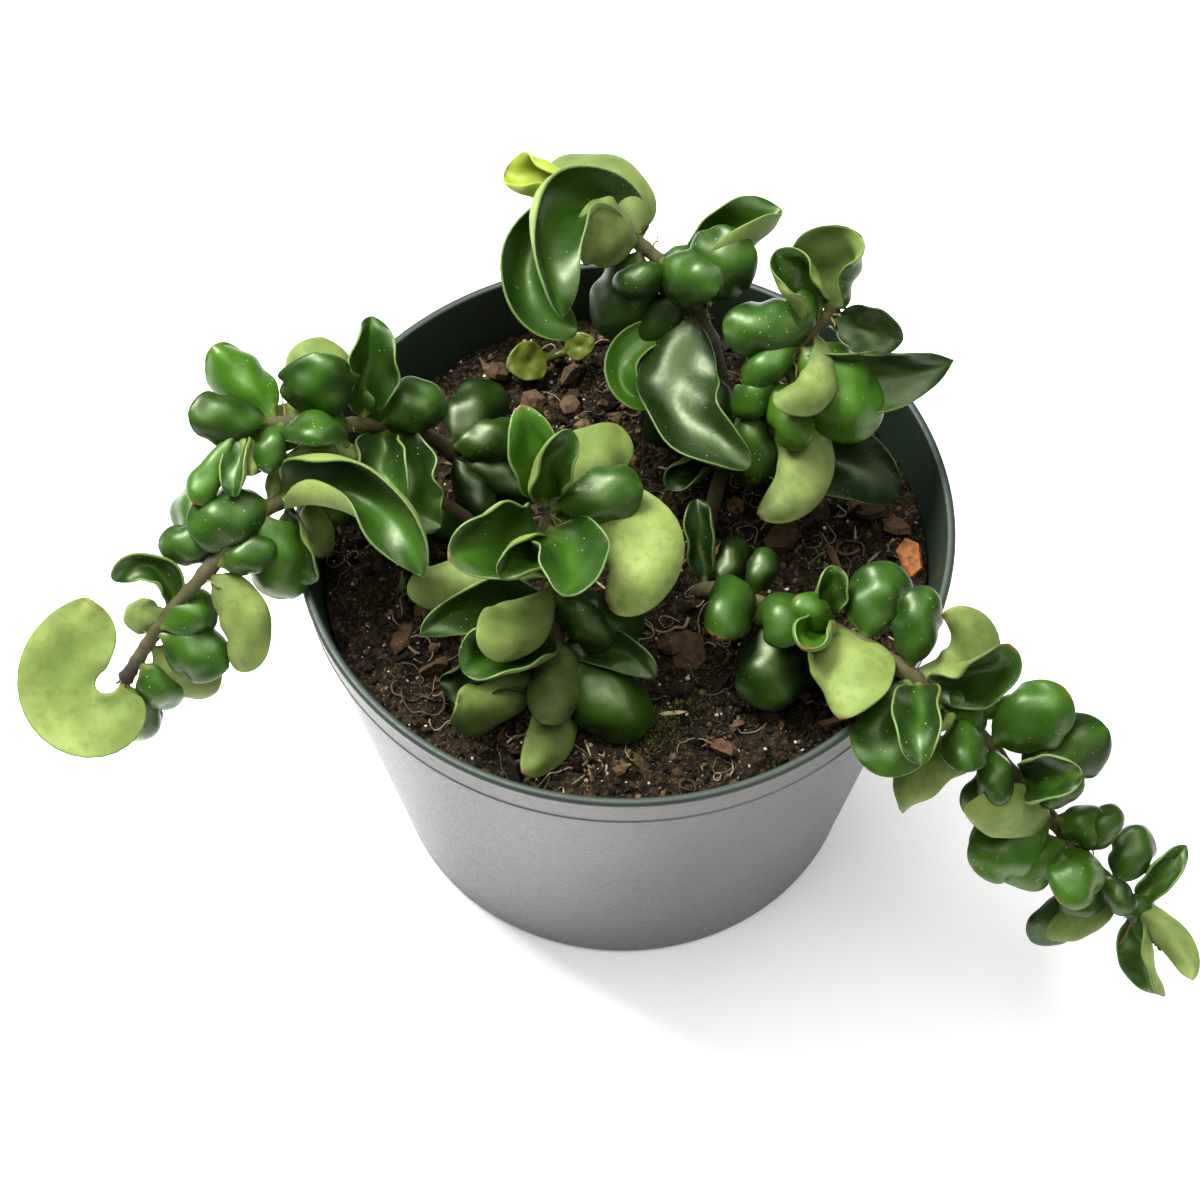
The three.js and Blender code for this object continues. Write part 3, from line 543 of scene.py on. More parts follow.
bark = Finish("bark", roughness=0.8, specular=0.15)
tone, grain = bark.value("tone"), bark.clouds(420, 5, 0.7)
crystals = bark.dots(1300, 0.12, 0.2, bark.ramp(bark.clouds(240), 0.5, 0.6, 0, 0.6))
colour = bark.mix(bark.ramp(tone, 0.0, 0.6), WET_PEAT, UMBER)
colour = bark.mix(bark.ramp(tone, 0.6, 0.9), colour, BROWN_BARK)
colour = bark.mix(crystals, colour, CRYSTAL)
colour = bark.mix(bark.ramp(tone, 0.93, 1.0), colour, ORANGE_BARK)
colour = bark.mix(bark.ramp(grain, 0.42, 0.7, 0, 0.75), colour, BARK_CRACK)
bark.cover(crumbs, chips, flakes, colour=colour, relief=grain, depth=0.5 * MM, strength=0.8)

straw = Finish("dry straw", roughness=0.8, specular=0.2)
straw.cover(slivers, colour=straw.mix(straw.value("tone"), OLD_STRAW, PALE_STRAW),
            relief=straw.clouds(900), depth=0.2 * MM)
mineral = Finish("perlite", roughness=0.75, specular=0.4)
mineral.cover(grains, colour=mineral.mix(mineral.value("tone"), STAINED, WHITE_GRAIN),
              relief=mineral.clouds(1500), depth=0.2 * MM)

# %% [markdown]
# ## Roots and moss
# Fine roots and fibres curl over the bed, pale and thread-thin. Each is a tube along a random
# walk: its heading drifts a little at each step, and it stays just over the bed. All of them
# are worked out at once.

# %% Roots: shape
FIBRE_STEPS, FIBRE_SIDES = 22, 5
FIBRE_RISE = 0.4                 # mm over the bed


def tubes(paths, radii, sides):
    """
    Tubes along many paths at once (count, steps, 3): each ring stands across its path, and its
    points are radius * (cos * side + sin * up), side and up being at right angles to the path.
    As up is side x along, the rings run clockwise, so the faces are turned over.
    """
    along = unit(np.gradient(paths, axis=1))
    side = unit(np.cross(along, [0.12, 0.31, 0.94]))
    up = np.cross(side, along)
    turn = (2 * np.pi * np.arange(sides) / sides)[:, None]
    rings = paths[:, :, None] + radii[..., None, None] * (
        np.cos(turn) * side[:, :, None] + np.sin(turn) * up[:, :, None])
    count, steps = paths.shape[:2]
    return rings.reshape(-1, 3), tube_faces(steps, sides, count, turn=-1)


def fibres(name, count, length, radius, curl, rng, places=None):
    """
    Curly threads over the bed: from each place, steps of one length whose heading is the sum
    of small random turns, drawn in from the wall, with the bed's height and a wavy rise added.
    """
    start = random_places(count, rng, 6) if places is None else places
    heading = rng.uniform(0, 2 * np.pi, (count, 1)) + np.cumsum(
        rng.normal(rng.normal(0, curl, (count, 1)), curl, (count, FIBRE_STEPS)), axis=1)
    step = rng.uniform(*length, (count, 1)) / FIBRE_STEPS
    x = start[:, :1] + np.cumsum(step * np.cos(heading), axis=1)
    y = start[:, 1:2] + np.cumsum(step * np.sin(heading), axis=1)
    shrink = np.minimum(1, (inner_radius(SOIL_LEVEL) - 1.5) / np.hypot(x, y))
    x, y = x * shrink, y * shrink
    waves = np.sin(np.linspace(0, 5, FIBRE_STEPS) + rng.uniform(0, 6, (count, 1)))
    height = soil_height(x, y) + FIBRE_RISE * (1 + 2.2 * np.abs(waves))
    taper = np.linspace(1, 0.45, FIBRE_STEPS) * rng.uniform(*radius, (count, 1))
    points, faces = tubes(np.stack([x, y, height], -1), taper, FIBRE_SIDES)
    tone = np.repeat(rng.uniform(0, 1, count), FIBRE_STEPS * FIBRE_SIDES)
    return make_piece(name, points * MM, faces, {"tone": tone})


# %% Roots: pieces and finish
CURL_PLACES = np.array([[-50, -30], [-46, -42], [-55, -38], [-8, -60], [16, -20], [44, -14],
                        [30, -44], [60, 2], [-20, 58]], float)
DARK_ROOT, PALE_ROOT = linear(50, 36, 24), linear(122, 108, 82)

rng = np.random.default_rng(11)
threads = fibres("fine_roots", 150, (6, 26), (0.12, 0.3), 0.28, rng)
curls = fibres("curled_roots", len(CURL_PLACES), (14, 24), (0.3, 0.5), 0.22, rng, CURL_PLACES)
root = Finish("fine roots", roughness=0.7, specular=0.3)
root.cover(threads, curls, colour=root.mix(root.value("tone"), DARK_ROOT, PALE_ROOT))

# %% [markdown]
# Moss and algae grow where the mix stays wet. Each blade is a narrow, bent leaf of six points.
# The patches are listed one by one; the blades in each are spread at random round its middle.
# The last three are tufts of taller seedlings.

# %% Moss
# x, y, spread in mm, count, height in mm
patches = np.array([
    [6, -54, 3.2, 420, 1], [11, -50, 2.6, 240, 1], [2, -49, 2.0, 120, 1.2], [20, -46, 4, 120, 1],
    [30, -36, 4.5, 90, 1], [50, 0, 2.5, 90, 1.4], [-12, 58, 4.0, 120, 1], [-53, -10, 2.2, 90, 1],
    [-54, -11, 1.8, 16, 4.5], [-47, -19, 1.2, 8, 3.6], [14, -46, 1.5, 7, 3.2]])
BLADE_ROWS = ((0, 0, 0.14), (0.55, 0.35, 0.24), (1, 1, 0.05))    # shares of height, lean, width
BLADE_POINTS = 2 * len(BLADE_ROWS)
DARK_MOSS, PALE_MOSS = linear(26, 36, 10), linear(84, 94, 36)


def moss_blades(patches, rng):
    """
    Points (count, 6, 3) of bent blades. Row k is a pair of points, half a width to either side
    of foot + lean share * lean * out + height share * height * z.
    """
    x, y, spread, _, tall = np.repeat(patches, patches[:, 3].astype(int), axis=0).T
    count = len(x)
    foot = np.stack([x, y], -1) + rng.normal(size=(count, 2)) * spread[:, None]
    most = inner_radius(SOIL_LEVEL) - 3
    foot *= np.minimum(1, most / np.hypot(*foot.T))[:, None]
    turn = rng.uniform(0, 2 * np.pi, count)
    height = rng.uniform(0.4, 1.3, count) * tall
    lean = rng.uniform(0.2, 1.0, count) * height
    out = np.stack([np.cos(turn), np.sin(turn), 0 * turn], -1)
    side = np.cross([0, 0, 1], out)
    base = np.concatenate([foot, (soil_height(*foot.T) - 0.2)[:, None]], 1)
    rows = []
    for rise, bend, half in BLADE_ROWS:
        middle = base + out * (lean * bend)[:, None] + np.outer(height * rise, [0, 0, 1])
        wide = side * (half * tall ** 0.8)[:, None]
        rows += [middle - wide, middle + wide]
    return np.stack(rows, 1)


blades = moss_blades(patches, np.random.default_rng(5))
quads = np.array([[2, 3, 1, 0], [4, 5, 3, 2]])       # a blade's upper side looks out
moss_faces = (quads + BLADE_POINTS * np.arange(len(blades))[:, None, None]).reshape(-1, 4)
moss_tone = np.repeat(np.random.default_rng(6).uniform(0, 1, len(blades)), BLADE_POINTS)
moss = make_piece("moss", blades.reshape(-1, 3) * MM, moss_faces.tolist(),
                  {"tone": moss_tone})
green = Finish("moss", roughness=0.7, specular=0.3)
green.cover(moss, colour=green.mix(green.value("tone"), DARK_MOSS, PALE_MOSS))

# %% [markdown]
# ## How a leaf is bent
# A hoya leaf is a thick blade on a short stalk. In this plant the blades cup, fold and curl
# until many look like beads, shells or boats. Sculpting 141 of them by hand would take long and
# could not be changed later, so a few functions bend them all. The midrib sweeps sideways, curls
# up or down and twists; the cross-section is an arc that cups or folds about the midrib; and
# both faces are set off from that middle surface by half the blade's thickness, with a rounded
# rim. A form is a set of named numbers, and each leaf may change some of them.

# %% Leaf forms
# Angles are in degrees, and other numbers are shares of the blade's length or width.
#   ratio            the blade's width over its length
#   cup, cup_end     how far each half bends up, near the stalk and near the tip
#   fold, lean       a crease along the midrib; how much more one half cups than the other
#   curl, hook       bends out of the blade's plane, even, and mostly near the tip
#   sweep, swing     bends in the blade's plane, even, and more and more
#   twist            a roll about the midrib
#   wave, waves, phase   height, number and start of the waves along the margin
#   skew             how much wider one half is
#   root, tip        how blunt the outline is at either end; less is blunter
#   trim             shortens the blade where its tip would show through a neighbour
#   young, shade     1 for a fresh yellow leaf; painted shade: a factor that paints a leaf darker or brighter
PLAIN = {"ratio": 0.7, "cup": 0, "cup_end": 0, "lean": 0, "fold": 0, "curl": 0, "hook": 0,
         "sweep": 0, "swing": 0, "twist": 0, "wave": 0, "waves": 2.2, "phase": 0,
         "skew": 0, "root": 0.5, "tip": 0.55, "trim": 1, "young": 0, "shade": 1}
FORMS = {
    "boat": {"ratio": 0.66, "cup": 80, "cup_end": 60, "fold": 15, "curl": 15, "hook": -25},
    "bead": {"ratio": 0.85, "cup": -115, "cup_end": -105, "curl": -140, "tip": 0.45},
    "dome": {"ratio": 0.78, "cup": -80, "cup_end": -65, "curl": -75, "tip": 0.5},
    "pale": {"ratio": 0.80, "cup": 70, "cup_end": 55, "curl": 45, "tip": 0.5},
    "kidney": {"ratio": 0.50, "cup": 45, "cup_end": 60, "curl": 20, "sweep": 170, "tip": 0.42},
    "blade": {"ratio": 0.55, "cup": 35, "cup_end": 20, "fold": 15, "curl": 10, "hook": -20,
              "tip": 0.65},
    "scroll": {"ratio": 0.85, "cup": 150, "cup_end": 120, "curl": 20},
    "scoop": {"ratio": 0.95, "cup": -110, "cup_end": -90, "curl": -40, "tip": 0.4},
}

# %% [markdown]
# The turns of a frame about its own x, y and z axes are small matrices. They are made for a
# whole row of angles at once.

# %% Turning a frame
def turning(axis, degrees):
    """Rotation matrices about axis 0, 1 or 2, one for each angle."""
    angle = np.asarray(degrees, float) * RAD
    cosine, sine, zero, one = np.cos(angle), np.sin(angle), 0 * angle, 0 * angle + 1
    cells = {0: [[one, zero, zero], [zero, cosine, -sine], [zero, sine, cosine]],
             1: [[cosine, zero, sine], [zero, one, zero], [-sine, zero, cosine]],
             2: [[cosine, -sine, zero], [sine, cosine, zero], [zero, zero, one]]}[axis]
    return np.moveaxis(np.array(cells), (0, 1), (-2, -1))


# %% [markdown]
# All leaves share one grid. It has u from 0 at the stalk to 1 at the tip, and v from -1 to 1
# across the blade, both closer together near the ends, where a leaf is most curved. The points
# round a blade make one ring: the upper face, a rim, the underside and the other rim. Three
# small rings make the stalk. What a ring's points carry for the material is the same for every
# leaf too, so it is worked out once.

# %% The grid of a leaf
ROWS, HALF_ROW = 34, 12          # steps along a blade, and from its midrib to an edge
RIM_STEPS = 3                    # points that round the rim between the two faces
STALK = np.array([[-0.8, 1.25], [0.6, 1.05], [2.0, 1.0]])     # place and radius of its rings
STALK_ALONG = [-0.2, -0.1, -0.05]    # stands for u on the stalk

even = (np.arange(ROWS + 1) / ROWS)[:, None]
u = np.minimum(0.8 * (1 - np.cos(np.pi * even)) / 2 + 0.2 * even, 1 - 1e-4)
even = np.linspace(-1, 1, 2 * HALF_ROW + 1)
v = np.sign(even) * (0.55 * np.abs(even) + 0.45 * np.sin(np.abs(even) * np.pi / 2))
s, half_sign = np.abs(v), np.sign(v)     # share from midrib to edge, and which half it is

columns = len(v)
rim_side = np.linspace(1, -1, RIM_STEPS + 2)[1:-1]
ring_across = np.concatenate([v, np.full(RIM_STEPS, 1.05), v[::-1], np.full(RIM_STEPS, -1.05)])
ring_side = np.concatenate([np.ones(columns), rim_side, -np.ones(columns), -rim_side])
ring_along = np.concatenate([STALK_ALONG, u[:, 0]])[:, None]
face_turn = 0.98 * (np.arange(columns) + 0.5) / columns + 0.01
rim_turn = 0.01 * rim_side
turn = np.pi * np.concatenate([1 - face_turn, rim_turn, -face_turn, rim_turn - 1])
stalk_x, stalk_radius = STALK[:, :1], STALK[:, 1:]
stalk_rings = np.stack([stalk_x + 0 * turn, stalk_radius * np.cos(turn),
                        stalk_radius * np.sin(turn)], -1)
print("a leaf has", len(ring_along), "rings of", len(ring_side), "points")

# %% [markdown]
# The middle surface of a blade comes first. Its midrib is the sum of short steps, each in the
# direction of its own turned frame. The cross-section is then laid across each of those frames.

# %% The middle surface of a leaf
PETIOLE = 3.5                    # mm, length of the leaf stalk
BLUNT = 0.9                      # mm, half of a blade's width where it is narrowest
PUCKER = 0.06                    # depth of the shallow dents in a blade, per half width
FINE_RIPPLE, FINE_RIPPLES = 0.03, 2.6    # height and number of the margin's small ripples
SECTION_SAMPLES = 12             # steps by which a cross-section is summed up
CREASE = 0.2                     # share of the half width over which the fold bends


def midrib_frames(form, blade):
    """
    The midrib's points and its frames (along, out, up as columns). The heading turns by
    sweep * u + swing * u^2 in the blade's plane, by curl * u^1.15 + hook * u^4 out of it, and
    rolls by twist * u.
    """
    t = u[:, 0]
    frames = (turning(2, form["sweep"] * t + form["swing"] * t ** 2)
              @ turning(1, -(form["curl"] * t ** 1.15 + form["hook"] * t ** 4))
              @ turning(0, form["twist"] * t))
    along = frames[..., 0]
    steps = np.diff(u, axis=0) * blade * (along[1:] + along[:-1]) / 2
    return np.concatenate([[[0, 0, 0]], np.cumsum(steps, axis=0)]) + [PETIOLE, 0, 0], frames


def half_width(form, blade):
    """
    Half of the blade's width along u, in mm, and its share of the widest: the outline is
    (u + 0.02)^root * (1 - u)^tip, and it stays blunt at both ends.
    """
    outline = (u + 0.02) ** form["root"] * (1 - u) ** form["tip"]
    widest = blade * form["ratio"] / 2
    half = np.maximum(widest * outline / outline.max(), BLUNT * np.clip(1.2 - u, 0.35, 1))
    return half, np.clip(half / widest, 0, 1)


def margin_ripple(form):
    """
    Waves along the margin, per half width: s^2 * (wave * sin(2 pi * waves * u + phase) and a
    finer sine), and dents all over the blade, PUCKER * sin(11 u) * cos(4.5 v). The two halves
    are out of step, and the leaf's own shifts move its fine ripples and dents.
    """
    phase = form["phase"] * RAD + np.where(half_sign > 0, 0, 2)
    waves = form["wave"] * np.sin(2 * np.pi * form["waves"] * u + phase)
    finer = FINE_RIPPLE * np.sin(2 * np.pi * FINE_RIPPLES * u + 2 * half_sign + 4 * form["shift"])
    pucker = np.sin(11 * u + 5 * form["shift"]) * np.cos(4.5 * v + 3 * form["shift_across"])
    return s ** 2 * (waves + finer) + PUCKER * pucker


def middle_surface(form, blade):
    """
    Points (rows, columns, 3): at share s from midrib to edge the cross-section slopes by
    fold + cup * s, and its points are the sums of cos and sin of that slope, in the midrib's
    frame. The ripple is added at right angles to it.
    """
    midrib, frames = midrib_frames(form, blade)
    half, spread = half_width(form, blade)
    cup = (form["cup"] + (form["cup_end"] - form["cup"]) * u) * spread
    cup = cup * (1 + form["lean"] * half_sign)
    fold = form["fold"] * np.clip(2 * spread, 0, 1)
    sample = (np.arange(SECTION_SAMPLES) + 0.5) / SECTION_SAMPLES * s[:, None]
    bend = (fold[..., None] * np.clip(sample / CREASE, 0, 1) + cup[..., None] * sample) * RAD
    edge = (fold * np.clip(s / CREASE, 0, 1) + cup * s) * RAD
    wide = half * (1 - form["skew"] * half_sign * (1 - 2 * u))
    ripple = margin_ripple(form)
    across = half_sign * wide * (np.cos(bend).mean(-1) * s - ripple * np.sin(edge))
    above = wide * (np.sin(bend).mean(-1) * s + ripple * np.cos(edge))
    out, up = frames[:, None, :, 1], frames[:, None, :, 2]
    return midrib[:, None] + across[..., None] * out + above[..., None] * up


# %% [markdown]
# The blade then gets its thickness. Leaves that sit deep in the pot are also painted darker than
# those in the open, as painted shade where little light reaches them. A factor says how much,
# from a point's height over the mix and its distance from the pot's middle.

# %% Thickness and painted shade of a leaf
BLADE_THICKNESS = 1.7
# DEEPEST, SHADE_HEIGHT and SHADE_EDGE set the painted shade deep in the pot
DEEPEST = 0.3                    # how dark a leaf gets just over the mix
SHADE_HEIGHT, SHADE_EDGE = 38, 12        # mm over which it fades, upwards and at the pot's wall


def thickened(middle):
    """
    Rings round a blade. Both faces stand off the middle surface by half the thickness, which
    falls by 0.6 * s^2.5 towards the edge and to about a third at the tip, and each rim is half
    a circle between them.
    """
    sideways = np.gradient(middle, axis=1)
    normal = unit(np.cross(np.gradient(middle, axis=0), sideways))
    sideways = unit(sideways)
    thin = (1 - 0.6 * s ** 2.5) * np.clip((1 - u) * 5 + 0.35, 0, 1)
    reach = BLADE_THICKNESS / 2 * thin[..., None]
    angle = (np.pi * (np.arange(RIM_STEPS) + 1) / (RIM_STEPS + 1))[:, None]
    rims = [middle[:, k, None] + facing * reach[:, k, None] * (
                np.cos(angle) * normal[:, k, None] + np.sin(angle) * sideways[:, k, None])
            for k, facing in ((-1, 1), (0, -1))]
    upper, lower = middle + normal * reach, middle - normal * reach
    return np.concatenate([upper, rims[0], lower[:, ::-1], rims[1]], 1)


def inner_shade(points):
    """The painted shade factor: 1 in the open, down to DEEPEST just over the mix; both edges are smooth
    steps.
    """
    height = np.clip((points[..., 2] - SOIL_LEVEL - 2) / SHADE_HEIGHT, 0, 1)
    inside = np.clip((RIM - np.hypot(points[..., 0], points[..., 1])) / SHADE_EDGE, 0, 1)
    return 1 - (1 - DEEPEST) * (1 - smooth_step(height)) * smooth_step(inside)


# %% [markdown]
# A finished leaf is turned to its place. The list below gives its direction as it is seen in the
# photograph, on a plane that leans like the camera's. No two real leaves are alike, so each has
# eight random draws that change its bend, width and ripple by a few per cent.

# %% One leaf
DRAWS, DRAW_LIMIT = 8, 1.5
SCALED = {"cup": (0, 0.10), "cup_end": (0, 0.10), "curl": (3, 0.08), "ratio": (5, 0.04)}
MOVED = {"lean": (1, 0.12), "twist": (2, 9), "wave": (4, 0.012)}


def varied(form, rng):
    """
    The form with its own small changes. SCALED and MOVED say which draw changes a number, and
    how much: it is multiplied by 1 + share * draw, or has amount * draw added.
    """
    draw = rng.normal(size=DRAWS).clip(-DRAW_LIMIT, DRAW_LIMIT)
    scaled = {name: form[name] * (1 + share * draw[k]) for name, (k, share) in SCALED.items()}
    moved = {name: form[name] + amount * draw[k] for name, (k, amount) in MOVED.items()}
    return {**form, **scaled, **moved, "shift": draw[6], "shift_across": draw[7]}


def leaf(base, turn, lift, face, length, form_name, changes, rng):
    """
    Points of one closed leaf in mm, as rings from its stalk to its tip, and the values that
    they carry. The rings are turned about z by part of the sweep, so that the leaf as a whole
    points along x, then about x by face, y by lift, z by turn and x by the view's slope.
    """
    form = varied({**PLAIN, **FORMS[form_name], **changes}, rng)
    blade = (length - PETIOLE) * form["trim"]
    rings = np.concatenate([stalk_rings, thickened(middle_surface(form, blade))])
    place = (turning(0, VIEW_SLOPE) @ turning(2, turn) @ turning(1, -lift) @ turning(0, face)
             @ turning(2, -form["sweep"] / 2 - form["swing"] / 3))
    rings = rings @ place.T + base
    all_points = np.ones(rings.shape[:2])
    # shade carries the painted shade: the leaf's own factor times inner_shade
    return rings, {
        "along": ring_along * all_points, "across": ring_across * all_points,
        "side": ring_side * all_points, "tone": rng.uniform() * all_points,
        "young": form["young"] * all_points, "shade": form["shade"] * inner_shade(rings)}
